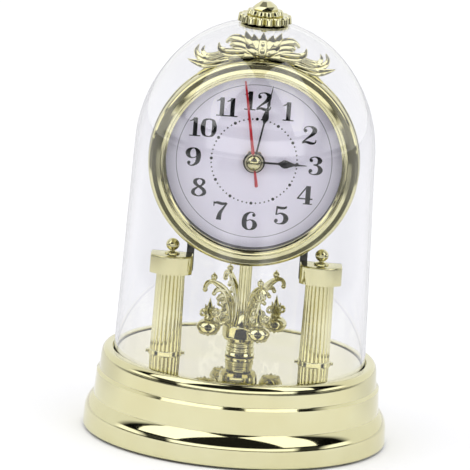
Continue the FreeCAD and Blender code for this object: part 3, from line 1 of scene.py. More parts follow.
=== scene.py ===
"""Desk clock with a turning pendulum under a clear dome, dressed for display. Lengths are metres unless named mm.
Pieces are drawn in mm and scaled once, in to_object."""
import json
import math

import bmesh
import bpy
from mathutils import Matrix, Vector


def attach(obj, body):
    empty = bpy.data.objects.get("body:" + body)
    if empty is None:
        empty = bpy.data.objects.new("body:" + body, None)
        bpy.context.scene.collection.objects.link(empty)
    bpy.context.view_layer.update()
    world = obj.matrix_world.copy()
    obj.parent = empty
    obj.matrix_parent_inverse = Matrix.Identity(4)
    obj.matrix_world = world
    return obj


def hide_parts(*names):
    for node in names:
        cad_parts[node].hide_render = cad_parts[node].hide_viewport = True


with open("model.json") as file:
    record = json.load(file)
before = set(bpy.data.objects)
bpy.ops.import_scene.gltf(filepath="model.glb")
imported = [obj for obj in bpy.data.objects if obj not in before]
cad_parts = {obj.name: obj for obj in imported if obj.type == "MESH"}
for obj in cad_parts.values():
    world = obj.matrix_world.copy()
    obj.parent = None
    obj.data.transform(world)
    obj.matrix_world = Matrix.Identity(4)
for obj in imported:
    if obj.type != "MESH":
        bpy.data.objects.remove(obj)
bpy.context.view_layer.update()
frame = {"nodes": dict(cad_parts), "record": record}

bl_info = {
    "name": "Dome clock",
    "version": (1, 0, 0),
    "blender": (4, 5, 0),
    "location": "View3D > Sidebar > Clock",
    "description": "Builds a gold plated dome clock with a turning pendulum",
    "category": "Add Mesh",
}

MM = 0.001


# Colours and materials

def linear(hex_colour):
    """An sRGB hex colour as linear red, green and blue."""
    parts = [int(hex_colour[i:i + 2], 16) / 255 for i in (1, 3, 5)]
    return tuple(c / 12.92 if c <= 0.04045 else ((c + 0.055) / 1.055) ** 2.4 for c in parts)


def add(tree, kind, links=(), **settings):
    """One node with its settings; links are (input socket of this node, output socket of another)."""
    node = tree.nodes.new(kind)
    for name, value in settings.items():
        if hasattr(node, name):
            setattr(node, name, value)
        else:
            node.inputs[name.replace("_", " ")].default_value = value
    for socket, source in links:
        tree.links.new(source, node.inputs[socket])
    return node


def fill(tree, node, values):
    """Set a node's inputs by their index: a link where the value is a socket, else a constant."""
    for index, value in values.items():
        if isinstance(value, bpy.types.NodeSocket):
            tree.links.new(value, node.inputs[index])
        else:
            node.inputs[index].default_value = value


def calc(tree, operation, *values, use_clamp=False):
    """The result of a sum on sockets or numbers."""
    node = add(tree, "ShaderNodeMath", operation=operation, use_clamp=use_clamp)
    fill(tree, node, dict(enumerate(values)))
    return node.outputs[0]


def mix(tree, share, first, second, blend_type="MIX"):
    """Two colours mixed by a share."""
    node = add(tree, "ShaderNodeMix", data_type="RGBA", blend_type=blend_type)
    fill(tree, node, {0: share, 6: first, 7: second})
    return node.outputs[2]


def ramp(tree, source, stops):
    """Colours over a socket's value; a stop is (position, colour or grey)."""
    node = add(tree, "ShaderNodeValToRGB", [("Fac", source)])
    stops = [(position, (*value, 1) if isinstance(value, tuple) else (value, value, value, 1))
             for position, value in stops]
    elements = node.color_ramp.elements
    for element, (position, colour) in zip(elements, (stops[0], stops[-1])):
        element.position = position
        element.color = colour
    for position, colour in stops[1:-1]:
        elements.new(position).color = colour
    return node.outputs["Color"]


def finish_of(name, colour, metallic=0.0, roughness=0.4, grain_mm=None, grain_depth_mm=0.0, detail=2.0,
              tint=None, tint_mm=8.0, **sockets):
    """A surface of one base colour with a bump of real size; tint is a second colour in soft patches."""
    material = bpy.data.materials.new(name)
    material.use_nodes = True
    tree = material.node_tree
    shader = tree.nodes["Principled BSDF"]
    sockets.update(Base_Color=(*colour, 1), Metallic=metallic, Roughness=roughness)
    for socket, value in sockets.items():
        shader.inputs[socket.replace("_", " ")].default_value = value
    place = add(tree, "ShaderNodeTexCoord").outputs["Object"]
    if grain_mm:
        grain = add(tree, "ShaderNodeTexNoise", [("Vector", place)], Scale=1 / (grain_mm * MM), Detail=detail)
        bump = add(tree, "ShaderNodeBump", [("Height", grain.outputs["Fac"])], Distance=grain_depth_mm * MM)
        tree.links.new(bump.outputs["Normal"], shader.inputs["Normal"])
    if tint:
        patches = add(tree, "ShaderNodeTexNoise", [("Vector", place)], Scale=1 / (tint_mm * MM), Detail=3.0)
        blend = ramp(tree, patches.outputs["Fac"], ((0.35, colour), (0.75, tint)))
        tree.links.new(blend, shader.inputs["Base Color"])
    return material


MATERIALS = {}

# Each look: the material with how its surface was made, its colour, and the settings of finish_of. A colour is a
# hex colour, or the name of one that a user can change.
FINISHES = (
    # ABS, vacuum plated and lacquered champagne gold: a mirror with the faint waves of moulded plastic.
    ("plated", "ABS_vacuum_plated_champagne", "plating",
     dict(metallic=1.0, roughness=0.07, grain_mm=9.0, grain_depth_mm=0.012, tint="plating_shade", tint_mm=30.0)),
    # The same plating on a flat polished plate, painted paler: a painted sheen for how it reflects at a low angle.
    ("deck", "ABS_vacuum_plated_polished_deck", "deck",
     dict(metallic=1.0, roughness=0.035, grain_mm=25.0, grain_depth_mm=0.01, tint="plating", tint_mm=60.0)),
    # Polystyrene, injection moulded clear: colourless, with a bright skin and dark edges.
    ("clear", "polystyrene_moulded_clear", "#FFFFFF",
     dict(roughness=0.0, IOR=1.49, Transmission_Weight=1.0, grain_mm=40.0, grain_depth_mm=0.02, detail=0.0)),
    # Acrylic, moulded and polished: the lens over the dial.
    ("lens", "acrylic_polished_lens", "#FFFFFF",
     dict(roughness=0.0, IOR=1.49, Transmission_Weight=1.0, grain_mm=40.0, grain_depth_mm=0.005, detail=0.0)),
    # Aluminium sheet, screen printed: an even satin ground with the finest speckle.
    ("dial", "aluminium_screen_printed_ground", "dial",
     dict(roughness=0.42, grain_mm=0.5, grain_depth_mm=0.004, tint="#EFEBFA", tint_mm=25.0)),
    # Screen ink: dense black, dull and thin; the fine line is printed in grey.
    ("ink", "ink_screen_printed_black", "ink",
     dict(roughness=0.6, grain_mm=0.3, grain_depth_mm=0.002, Specular_IOR_Level=0.2)),
    ("ink_fine", "ink_screen_printed_grey", "#6A6672", dict(roughness=0.4, grain_mm=0.3, grain_depth_mm=0.002)),
    # Steel, stamped and lacquered: smooth enamel with soft stamped edges.
    ("hand", "steel_lacquered_black", "#0B0A0E", dict(roughness=0.35, grain_mm=0.8, grain_depth_mm=0.003)),
    ("second", "steel_lacquered_red", "second", dict(roughness=0.35, grain_mm=0.8, grain_depth_mm=0.003)),
    # ABS, injection moulded black with a spark-eroded texture, and a smoother charcoal for the two supports.
    ("moulded", "ABS_moulded_black_textured", "#1B1B1D",
     dict(roughness=0.52, grain_mm=0.35, grain_depth_mm=0.03, detail=4.0, tint="#242427", tint_mm=12.0)),
    ("support", "ABS_moulded_charcoal", "#3A3A38", dict(roughness=0.45, grain_mm=0.35, grain_depth_mm=0.02)),
    # Brass, turned: yellow metal with fine tool rings.
    ("brass", "brass_turned", "#C9A24D", dict(metallic=1.0, roughness=0.24, grain_mm=0.4, grain_depth_mm=0.01)),
    # Steel, bright zinc plated: cool grey with faint cloudy patches.
    ("steel", "steel_zinc_plated", "#B9BCBF",
     dict(metallic=1.0, roughness=0.28, grain_mm=0.5, grain_depth_mm=0.008, tint="#A9ADB0", tint_mm=3.0)),
    # Rubber, moulded: dull, with a fine matt skin.
    ("rubber", "rubber_moulded_black", "#1A1A1A", dict(roughness=0.8, grain_mm=0.4, grain_depth_mm=0.03)),
    # Ferrite, pressed and sintered: dark grey and slightly grainy.
    ("ferrite", "ferrite_pressed", "#3B3B3D",
     dict(metallic=0.2, roughness=0.55, grain_mm=0.3, grain_depth_mm=0.02)),
    # Copper, enamelled wire: reddish with wire-fine ridges.
    ("copper", "copper_enamelled_wire", "#B4693A",
     dict(metallic=0.9, roughness=0.3, grain_mm=0.25, grain_depth_mm=0.04)),
    # Glass-fibre board with green solder lacquer: glossy green with paler patches.
    ("board", "glassfibre_board_lacquered", "#1F5A33",
     dict(roughness=0.35, grain_mm=0.6, grain_depth_mm=0.01, tint="#2A6B3D", tint_mm=3.0)),
    # Dry cell in a steel can with a printed sleeve: blue grey with a soft shine.
    ("cell", "steel_sleeved_cell", "#5A6470",
     dict(metallic=0.4, roughness=0.35, grain_mm=1.5, grain_depth_mm=0.005)),
)

# The look of each material slot of the record.
SLOT_LOOKS = {
    "gold_plated_plastic": "plated", "mirror_deck": "deck", "clear_plastic": "clear", "clear_lens": "lens",
    "printed_dial": "dial", "black_plastic": "moulded", "black_lacquer": "hand", "red_lacquer": "second",
    "brass": "brass", "steel": "steel", "rubber": "rubber", "magnet": "ferrite", "copper": "copper",
    "board": "board", "cell": "cell",
}


# Mesh helpers

# How far beside a rounding a straight wall gets one more ring, in mm, so that its shading stays straight.
GUARD = 0.12
# The most that a rounding takes of a side, and its steps.
ROUNDING_SHARE = 0.49
ROUNDING_STEPS = 6
# A leaf's pointed end is drawn in to this share.
POINT_SHARE = 0.12


def arc_points(start, end, radius, step=5.0):
    """Points after start up to end on an arc; a positive radius turns left."""
    middle = (start + end) / 2
    along = end - start
    half = along.length / 2
    reach = math.sqrt(max(radius * radius - half * half, 0))
    left = Vector((-along.y, along.x)).normalized()
    centre = middle + left * math.copysign(reach, radius)
    first = math.atan2(*(start - centre).yx)
    sweep = 2 * math.asin(min(half / abs(radius), 1)) * (1 if radius > 0 else -1)
    count = max(2, math.ceil(math.degrees(abs(sweep)) / step))
    return [centre + abs(radius) * Vector((math.cos(first + sweep * i / count), math.sin(first + sweep * i / count)))
            for i in range(1, count + 1)]


def profile(*entries):
    """A polyline in mm. An entry is (x, y), with a third value where the side to it is an arc of that radius,
    and a fourth where its corner is rounded by that radius."""
    points = []
    rounds = {}
    for index, entry in enumerate(entries):
        here = Vector(entry[:2])
        if len(entry) > 2 and entry[2]:
            points += arc_points(Vector(entries[index - 1][:2]), here, entry[2])
        else:
            points.append(here)
        if len(entry) > 3:
            rounds[len(points) - 1] = entry[3]
    result = []
    for index, point in enumerate(points):
        if index not in rounds:
            result.append(point)
            continue
        sides = points[index - 1] - point, points[(index + 1) % len(points)] - point
        reach = rounds[index] * math.tan((math.pi - sides[0].angle(sides[1])) / 2)
        first, last = (point + side.normalized() * min(reach, side.length * ROUNDING_SHARE) for side in sides)
        guards = [[end + side.normalized() * GUARD] if reach + GUARD < side.length * ROUNDING_SHARE else []
                  for end, side in zip((first, last), sides)]
        result += guards[0]
        for i in range(ROUNDING_STEPS + 1):
            t = i / ROUNDING_STEPS
            result.append(first * (1 - t) ** 2 + point * 2 * t * (1 - t) + last * t * t)
        result += guards[1]
    return result


def to_object(name, bm, look, body, slot, *replaced, sharp=30.0):
    """Turn a bmesh in mm into a finished piece that rides on a body."""
    bmesh.ops.remove_doubles(bm, verts=bm.verts, dist=1e-4)
    bmesh.ops.recalc_face_normals(bm, faces=bm.faces)
    for face in bm.faces:
        face.smooth = True
    for edge in bm.edges:
        edge.smooth = not edge.is_manifold or edge.calc_face_angle() < math.radians(sharp)
    bm.transform(Matrix.Scale(MM, 4))
    mesh = bpy.data.meshes.new(name)
    bm.to_mesh(mesh)
    bm.free()
    mesh.materials.append(MATERIALS[look])
    piece = bpy.data.objects.new(name, mesh)
    bpy.context.scene.collection.objects.link(piece)
    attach(piece, body)
    if replaced:
        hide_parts(*replaced)


def plated(name, bm, body, *replaced, sharp=30.0):
    """Finish a piece in the clock's plating."""
    to_object(name, bm, "plated", body, "gold_plated_plastic", *replaced, sharp=sharp)


def grid_faces(bm, rows, wrap_rows=False, wrap_columns=True):
    """Faces between neighbouring rows, without those that would have fewer than three corners."""
    count = len(rows)
    for i in range(count if wrap_rows else count - 1):
        lower = rows[i]
        upper = rows[(i + 1) % count]
        width = len(lower)
        for j in range(width if wrap_columns else width - 1):
            k = (j + 1) % width
            corners = []
            for vert in (lower[j], lower[k], upper[k], upper[j]):
                if vert not in corners:
                    corners.append(vert)
            if len(corners) > 2 and bm.faces.get(corners) is None:
                bm.faces.new(corners)


def skin(bm, rows):
    """Close rows into a solid, with a face at each end."""
    grid_faces(bm, rows)
    bm.faces.new(rows[0])
    bm.faces.new(rows[-1])


def lathe(bm, outline, steps, wave=None, matrix=None):
    """Turn an outline of (radius, height) about Z; wave(angle, radius, height) may change the radius."""
    rows = []
    for radius, height in outline:
        if radius < 1e-4:
            rows.append([bm.verts.new((0, 0, height))] * steps)
            continue
        row = []
        for j in range(steps):
            angle = 2 * math.pi * j / steps
            r = wave(angle, radius, height) if wave else radius
            row.append(bm.verts.new((r * math.cos(angle), r * math.sin(angle), height)))
        rows.append(row)
    grid_faces(bm, rows, wrap_rows=True)
    if matrix:
        bmesh.ops.transform(bm, matrix=matrix, verts=list({vert for row in rows for vert in row}))


def head_matrix():
    """Takes a piece turned about Z to the head, where the dial's axis runs along Y and depth is height."""
    return Matrix.Translation((0, 0, sizes().head_height / MM)) @ Matrix.Rotation(math.radians(-90), 4, "X")


def ahead_at(points, i):
    """Where a line heads at its point i."""
    return points[min(i + 1, len(points) - 1)] - points[max(i - 1, 0)]


def strip(bm, centres, sides, fronts, shape, pointed=(False, False)):
    """A closed leaf or ribbon: centres are its spine, sides and fronts are vectors to its edge and its face,
    and shape is the section as (share of side, share of front)."""
    rows = []
    for centre, side, front in zip(centres, sides, fronts):
        rows.append([bm.verts.new(centre + side * a + front * b) for a, b in shape])
    for row, sharp in ((rows[0], pointed[0]), (rows[-1], pointed[1])):
        if sharp:
            middle = sum((vert.co for vert in row), Vector()) / len(row)
            for vert in row:
                vert.co = middle.lerp(vert.co, POINT_SHARE)
    skin(bm, rows)


def tube_along(bm, points, radii, steps=12):
    """A round bar along points with a radius at each."""
    rows = []
    for i, (point, radius) in enumerate(zip(points, radii)):
        ahead = ahead_at(points, i)
        across = ahead.cross(Vector((0, 0, 1)))
        if across.length < 1e-6:
            across = ahead.cross(Vector((1, 0, 0)))
        across.normalize()
        up = across.cross(ahead).normalized()
        rows.append([bm.verts.new(point + (across * math.cos(a) + up * math.sin(a)) * radius)
                     for a in (2 * math.pi * j / steps for j in range(steps))])
    skin(bm, rows)


def ball(bm, centre, radius, steps, stretch=1.0):
    matrix = Matrix.Translation(centre) @ Matrix.Diagonal((radius, radius, radius * stretch, 1))
    bmesh.ops.create_uvsphere(bm, u_segments=steps, v_segments=steps // 2, radius=1, matrix=matrix)


def box(bm, low, high, bevel):
    made = bmesh.ops.create_cube(bm, size=1)["verts"]
    for vert in made:
        for axis in range(3):
            vert.co[axis] = low[axis] if vert.co[axis] < 0 else high[axis]
    edges = {edge for vert in made for edge in vert.link_edges}
    bmesh.ops.bevel(bm, geom=list(edges), offset=bevel, segments=2, affect="EDGES", profile=0.5)


def prism(bm, outline, bottom, top, bevel, matrix):
    """An upright prism whose top edge is rounded by drawing the outline in over the bevel."""
    centre = sum(outline, Vector((0, 0))) / len(outline)
    levels = [(bottom, 0.0), (top - bevel - GUARD, 0.0)]
    levels += [(top - bevel * (1 - math.sin(a)), bevel * (1 - math.cos(a)))
               for a in (math.radians(15 * i) for i in range(7))]
    rows = []
    for height, inset in levels:
        row = []
        for i, point in enumerate(outline):
            along = outline[(i + 1) % len(outline)] - outline[i - 1]
            inward = Vector((-along.y, along.x)).normalized()
            if inward.dot(centre - point) < 0:
                inward = -inward
            place = point + inward * inset
            row.append(bm.verts.new(matrix @ Vector((place.x, place.y, height))))
        rows.append(row)
    skin(bm, rows)


def smooth_stroke(points):
    """Fill a stroke in between its points with a Catmull-Rom curve."""
    points = [Vector(point) for point in points]
    if len(points) == 2:
        return points
    result = []
    for i in range(len(points) - 1):
        a = points[max(i - 1, 0)]
        b = points[i]
        c = points[i + 1]
        d = points[min(i + 2, len(points) - 1)]
        for step in range(8):
            t = step / 8
            result.append(0.5 * ((2 * b) + (c - a) * t + (2 * a - 5 * b + 4 * c - d) * t * t
                                 + (3 * b - a - 3 * c + d) * t ** 3))
    result.append(points[-1])
    return result


# Sizes and colours that a user would change

class ClockSizes(bpy.types.PropertyGroup):
    """Sizes of the clock"""
    head_height: bpy.props.FloatProperty(
        name="Head height", description="Height of the dial's centre", default=0.145, unit="LENGTH", precision=4)
    numeral_height: bpy.props.FloatProperty(
        name="Numeral height", description="Height of the dial's figures", default=0.0096, unit="LENGTH", precision=4)
    numeral_circle: bpy.props.FloatProperty(
        name="Numeral circle", description="Radius of the circle of the figures' centres", default=0.0309,
        unit="LENGTH", precision=4)
    dot_circle: bpy.props.FloatProperty(
        name="Dot circle", description="Radius of the ring of minute dots", default=0.0217, unit="LENGTH", precision=4)
    dial_line: bpy.props.FloatProperty(
        name="Dial line", description="Radius of the fine line round the figures", default=0.0393, unit="LENGTH",
        precision=4)
    flute_depth: bpy.props.FloatProperty(
        name="Flute depth", description="Depth of the columns' flutes", default=0.00085, unit="LENGTH", precision=5)
    floor_size: bpy.props.FloatProperty(
        name="Floor size", description="Width of the floor", default=14.0, unit="LENGTH")


class ClockColours(bpy.types.PropertyGroup):
    """Colours of the clock"""
    plating: bpy.props.FloatVectorProperty(
        name="Plating", description="Champagne gold of the plated plastic", subtype="COLOR", size=3,
        min=0, max=1, default=linear("#DDD9B0"))
    plating_shade: bpy.props.FloatVectorProperty(
        name="Plating shade", description="Warmer tone where the lacquer lies thicker", subtype="COLOR", size=3,
        min=0, max=1, default=linear("#D7D1A4"))
    # Painted sheen: the deck's gold is painted paler than the plating for its reflection at a low angle.
    deck: bpy.props.FloatVectorProperty(
        name="Deck", description="Paler gold of the polished deck", subtype="COLOR", size=3,
        min=0, max=1, default=linear("#E1DCC4"))
    dial: bpy.props.FloatVectorProperty(
        name="Dial", description="Cool white of the dial", subtype="COLOR", size=3,
        min=0, max=1, default=linear("#F4F0FD"))
    ink: bpy.props.FloatVectorProperty(
        name="Ink", description="Black of the dial's print", subtype="COLOR", size=3,
        min=0, max=1, default=linear("#0A090E"))
    second: bpy.props.FloatVectorProperty(
        name="Second hand", description="Red lacquer of the second hand", subtype="COLOR", size=3,
        min=0, max=1, default=linear("#C20A22"))
    floor: bpy.props.FloatVectorProperty(
        name="Floor", description="White of the floor", subtype="COLOR", size=3,
        min=0, max=1, default=linear("#A3A3A3"))


def sizes():
    return bpy.context.scene.clock_sizes


def colours():
    return bpy.context.scene.clock_colours


class CLOCK_OT_finishes(bpy.types.Operator):
    """Make the clock's materials"""
    bl_idname = "clock.finishes"
    bl_label = "Finishes"

    def colour(self, text):
        return linear(text) if text.startswith("#") else tuple(getattr(colours(), text))

    def execute(self, context):
        for look, name, ground, settings in FINISHES:
            settings = {key: self.colour(value) if key == "tint" else value for key, value in settings.items()}
            MATERIALS[look] = finish_of(name, self.colour(ground), **settings)
        return {"FINISHED"}


class CLOCK_OT_dress_frame(bpy.types.Operator):
    """Give every carried-over solid its finish"""
    bl_idname = "clock.dress_frame"
    bl_label = "Dress the plain solids"

    def execute(self, context):
        slots = {part["node"]: part["material_slot"] for part in frame["record"]["subparts"]}
        for name, node in frame["nodes"].items():
            look = "support" if name in ("support_left", "support_right") else SLOT_LOOKS[slots[name]]
            node.data.materials.clear()
            node.data.materials.append(MATERIALS[look])
        return {"FINISHED"}


class CLOCK_OT_base(bpy.types.Operator):
    """Build the stepped base with its rolled rim and shoulder"""
    bl_idname = "clock.base"
    bl_label = "Base"

    def execute(self, context):
        bm = bmesh.new()
        outline = profile(
            (73.8, 1.0), (77.5, 1.0, 0, 1.2), (77.2, 8.8), (73.0, 17.4, 11.0, 0.3), (72.25, 29.6),
            (70.95, 30.9, 0, 0.4), (70.2, 42.2, 0, 4.8), (64.8, 42.2, 0, 0.4), (64.8, 38.4),
            (1.03, 38.4), (1.03, 36.2), (68.0, 36.2), (68.0, 29.0), (70.0, 27.0), (70.0, 3.4), (73.8, 3.4))
        lathe(bm, outline, steps=256)
        plated("base_shell_polished", bm, "stand", "base_shell", sharp=20)
        return {"FINISHED"}


# Where the columns stand, and their flutes.
COLUMN_X_MM = 38.0
COLUMN_Y_MM = -4.0
FLUTES = 20
FLUTE_SHARPNESS = 0.55


class CLOCK_OT_columns(bpy.types.Operator):
    """Build both fluted columns with plinths, capitals and balls"""
    bl_idname = "clock.columns"
    bl_label = "Columns"

    def column(self, side, name):
        x, y = COLUMN_X_MM * side, COLUMN_Y_MM
        place = Matrix.Translation((x, y, 0))
        depth = sizes().flute_depth / MM
        bm = bmesh.new()

        def flutes(angle, radius, height):
            if radius < 4:
                return radius
            wave = abs(math.sin(angle * FLUTES / 2))
            return radius - depth * (1 - wave ** FLUTE_SHARPNESS)

        outline = profile((1.6, 42.9), (7.9, 42.9), (7.3, 83.0), (1.6, 83.0))
        lathe(bm, outline, steps=320, wave=flutes, matrix=place)
        plated(f"column_{name}_fluted", bm, "stand", f"column_{name}", sharp=50)
        bm = bmesh.new()
        lathe(bm, profile((1.6, 41.4), (8.7, 41.4), (8.7, 42.9, 0, 0.5), (1.6, 42.9)), steps=96, matrix=place)
        for end in (-1, 1):
            box(bm, (x + end * 8.2 - 1.7, y - 1.5, 41.4), (x + end * 8.2 + 1.7, y + 1.5, 42.15), 0.15)
        plated(f"plinth_{name}_moulded", bm, "stand", f"plinth_{name}")

    def capital(self, side, name):
        place = Matrix.Translation((COLUMN_X_MM * side, COLUMN_Y_MM, 0))
        bm = bmesh.new()
        outline = profile((-10.7, 6.0, 0, 0.4), (-10.7, -3.6), (10.7, -3.6, 13.6), (10.7, 6.0, 0, 0.4))
        prism(bm, outline, 83.0, 92.6, 0.8, place)
        plated(f"capital_{name}_moulded", bm, "stand", f"capital_{name}", sharp=35)
        bm = bmesh.new()
        outline = profile((0, 91.4), (1.25, 91.4), (1.25, 92.6), (3.8, 92.6), (3.8, 93.4, 0, 0.35),
                          (2.6, 93.9, 0, 0.3), (1.3, 94.0, 0, 0.2), (1.2, 94.4), (3.45, 97.2, 3.45),
                          (0, 100.65, 3.45))
        lathe(bm, outline, steps=64, matrix=place)
        plated(f"column_ball_{name}_turned", bm, "stand", f"column_ball_{name}")

    def execute(self, context):
        for side, name in ((-1, "left"), (1, "right")):
            self.column(side, name)
            self.capital(side, name)
        return {"FINISHED"}


class CLOCK_OT_head(bpy.types.Operator):
    """Build the case, bezel and lens of the head"""
    bl_idname = "clock.head"
    bl_label = "Head"

    def execute(self, context):
        matrix = head_matrix()
        bm = bmesh.new()
        lathe(bm, profile((48.5, -11.3), (48.5, -9.5), (46.8, -9.5), (46.8, -8.0), (48.5, -8.0), (48.5, 9.7),
                          (46.8, 9.7), (46.8, 11.2), (48.5, 11.2), (48.5, 13.0), (50.5, 13.0, 0, 0.6),
                          (50.5, -9.8), (53.4, -9.8, 0, 0.3), (53.4, -11.3, 0, 0.2)), steps=256, matrix=matrix)
        plated("case_body_moulded", bm, "stand", "case_body", sharp=35)
        bm = bmesh.new()
        lathe(bm, profile((46.1, -11.3), (46.1, -17.4), (44.4, -17.4), (44.4, -18.6, 0, 0.3),
                          (45.5, -19.0, 0, 0.35), (45.98, -19.64, 0, 0.3), (46.92, -19.8, 0, 0.35),
                          (46.92, -20.44, 0, 0.3), (47.2, -20.6, 0, 0.15), (49.0, -20.25, 0, 0.2),
                          (51.3, -20.35, 0, 0.5), (53.0, -16.9, 3.6), (53.0, -11.3)),
              steps=256, matrix=matrix)
        plated("bezel_polished", bm, "stand", "bezel", sharp=50)
        bm = bmesh.new()
        lathe(bm, profile((0, -22.0), (44.0, -17.4, 212.74), (45.9, -17.4), (45.9, -16.0), (43.3, -16.0),
                          (0, -20.6, -206.09)), steps=192, matrix=matrix)
        to_object("lens_polished", bm, "lens", "stand", "clear_lens", "lens", sharp=30)
        return {"FINISHED"}


# Strokes of the dial's figures: x, y and stroke width in hundredths of the figure's height.
FIGURE_STROKES = {
    "0": [[(30, 97, 6), (15, 90, 11), (10, 68, 17), (9, 50, 18), (10, 32, 17),
           (15, 10, 11), (30, 3, 6), (45, 10, 11), (50, 32, 17), (51, 50, 18),
           (50, 68, 17), (45, 90, 11), (30, 97, 6)]],
    "1": [[(30, 100, 18), (30, 2, 18)], [(28, 97, 10), (18, 86, 7), (7, 80, 6)],
          [(7, 3, 6), (53, 3, 6)]],
    "2": [[(9, 76, 5), (14, 91, 5), (30, 97, 6), (45, 89, 15), (49, 73, 18),
           (40, 53, 14), (23, 33, 8), (6, 10, 6)],
          [(5, 5, 5), (20, 13, 12), (36, 8, 15), (48, 8, 11), (55, 16, 5),
           (56, 26, 4)]],
    "3": [[(9, 79, 5), (15, 92, 5), (29, 97, 6), (43, 89, 14), (46, 74, 17),
           (38, 59, 8), (23, 54, 5)],
          [(23, 54, 5), (41, 49, 10), (50, 30, 18), (44, 11, 14), (28, 3, 6),
           (13, 8, 5), (8, 20, 5)]],
    "4": [[(38, 99, 5), (5, 32, 6)], [(2, 30, 7), (60, 30, 7)],
          [(42, 100, 18), (42, 2, 18)], [(25, 3, 6), (59, 3, 6)]],
    "5": [[(15, 97, 6), (13, 50, 6)],
          [(14, 92, 13), (30, 89, 14), (44, 91, 12), (50, 100, 4)],
          [(13, 51, 5), (28, 60, 8), (44, 52, 15), (50, 32, 19), (43, 11, 14),
           (27, 3, 6), (13, 8, 5), (8, 19, 5)]],
    "6": [[(49, 84, 4), (41, 95, 5), (28, 95, 8), (14, 78, 15), (10, 50, 18),
           (12, 22, 17), (20, 7, 10), (31, 3, 6), (44, 11, 13), (50, 29, 18),
           (45, 48, 13), (33, 56, 6), (20, 50, 5), (13, 38, 4)]],
    "7": [[(7, 98, 5), (7, 74, 4)],
          [(6, 88, 6), (20, 93, 14), (38, 88, 15), (54, 93, 10)],
          [(55, 93, 6), (42, 64, 9), (31, 36, 15), (27, 1, 20)]],
    "8": [[(30, 97, 6), (17, 90, 12), (14, 76, 15), (21, 62, 13), (36, 50, 13),
           (49, 34, 14), (49, 16, 13), (30, 3, 6), (11, 14, 13), (10, 32, 13),
           (22, 48, 8), (38, 60, 8), (46, 76, 12), (43, 90, 10), (30, 97, 6)]],
}
# Round ends of the strokes: x, y and radius in hundredths of the figure's height.
FIGURE_BALLS = {
    "2": [(14.5, 74, 9.5)], "3": [(14.5, 77, 9), (14, 22, 9.5)], "5": [(14, 20, 9.5)],
    "6": [(44, 82, 9)],
}
FIGURE_WIDTH_SHARE = 0.60
WIDE_SHARE = 1.42
NARROW_SHARE = 0.92
ONE_STRETCH = 1.25
# Where the ink lies: the dial's front, and the ink's thickness. Each figure lies a hair in front of the one before.
DIAL_FRONT_MM = -10.5
INK_MM = 0.02
INK_STEP_MM = 0.001
DOT_RADIUS_MM = 0.42
HOUR_DOT_RADIUS_MM = 0.80
LINE_WIDTH_MM = 0.30


def hundredths(point):
    return [number / 100 for number in point]


def flat_disc(bm, x, z, radius, y, steps=20):
    bm.faces.new([bm.verts.new((x + radius * math.cos(2 * math.pi * i / steps), y,
                                z + radius * math.sin(2 * math.pi * i / steps))) for i in range(steps)])


def flat_stroke(bm, points, place, y):
    """A stroke of varying width on the dial; place takes its points to the dial's x and z."""
    rows = []
    for i, point in enumerate(points):
        ahead = ahead_at(points, i)
        across = Vector((-ahead.y, ahead.x)).normalized() * point.z / 2
        edges = (place(*(point.xy + across)), place(*(point.xy - across)))
        rows.append([bm.verts.new((x, y, z)) for x, z in edges])
    grid_faces(bm, rows, wrap_columns=False)


class CLOCK_OT_dial_print(bpy.types.Operator):
    """Print the figures, the minute dots and the fine line on the dial"""
    bl_idname = "clock.dial_print"
    bl_label = "Dial print"

    def figure(self, bm, text, x, z, y):
        height = sizes().numeral_height / MM
        widths = [height * FIGURE_WIDTH_SHARE * (NARROW_SHARE if c == "1" else WIDE_SHARE) for c in text]
        start = x - sum(widths) / 2
        for index, character in enumerate(text):
            turned = character == "9"
            shape = "6" if turned else character
            left = start + sum(widths[:index])
            middle = widths[index] / 2
            stretch = ONE_STRETCH if character == "1" else WIDE_SHARE

            def place(a, b):
                if turned:
                    a, b = FIGURE_WIDTH_SHARE - a, 1 - b
                return left + middle + (a - FIGURE_WIDTH_SHARE / 2) * stretch * height, z + (b - 0.5) * height

            for stroke in FIGURE_STROKES[shape]:
                flat_stroke(bm, smooth_stroke(map(hundredths, stroke)), place, y)
            for a, b, radius in map(hundredths, FIGURE_BALLS.get(shape, ())):
                flat_disc(bm, *place(a, b), radius * height, y)

    def execute(self, context):
        s = sizes()
        head = s.head_height / MM
        front = DIAL_FRONT_MM - INK_MM
        bm = bmesh.new()
        for hour in range(1, 13):
            angle = math.radians(30 * hour)
            circle = s.numeral_circle / MM
            self.figure(bm, str(hour), circle * math.sin(angle), head + circle * math.cos(angle),
                        front - INK_STEP_MM * hour)
        for minute in range(60):
            angle = math.radians(6 * minute)
            radius = DOT_RADIUS_MM if minute % 5 else HOUR_DOT_RADIUS_MM
            circle = s.dot_circle / MM
            flat_disc(bm, circle * math.sin(angle), head + circle * math.cos(angle), radius, front, 14)
        face_front(bm)
        to_object("dial_figures", bm, "ink", "stand", "black_lacquer")
        bm = bmesh.new()
        ring(bm, s.dial_line / MM, LINE_WIDTH_MM, front, head)
        face_front(bm)
        to_object("dial_fine_line", bm, "ink_fine", "stand", "black_lacquer")
        return {"FINISHED"}


def face_front(bm):
    for face in bm.faces:
        face.normal_update()
        if face.normal.y > 0:
            face.normal_flip()


def ring(bm, radius, width, y, head, steps=256):
    rows = []
    for r in (radius - width / 2, radius + width / 2):
        rows.append([bm.verts.new((r * math.sin(2 * math.pi * i / steps), y,
                                   head + r * math.cos(2 * math.pi * i / steps))) for i in range(steps)])
    grid_faces(bm, rows)


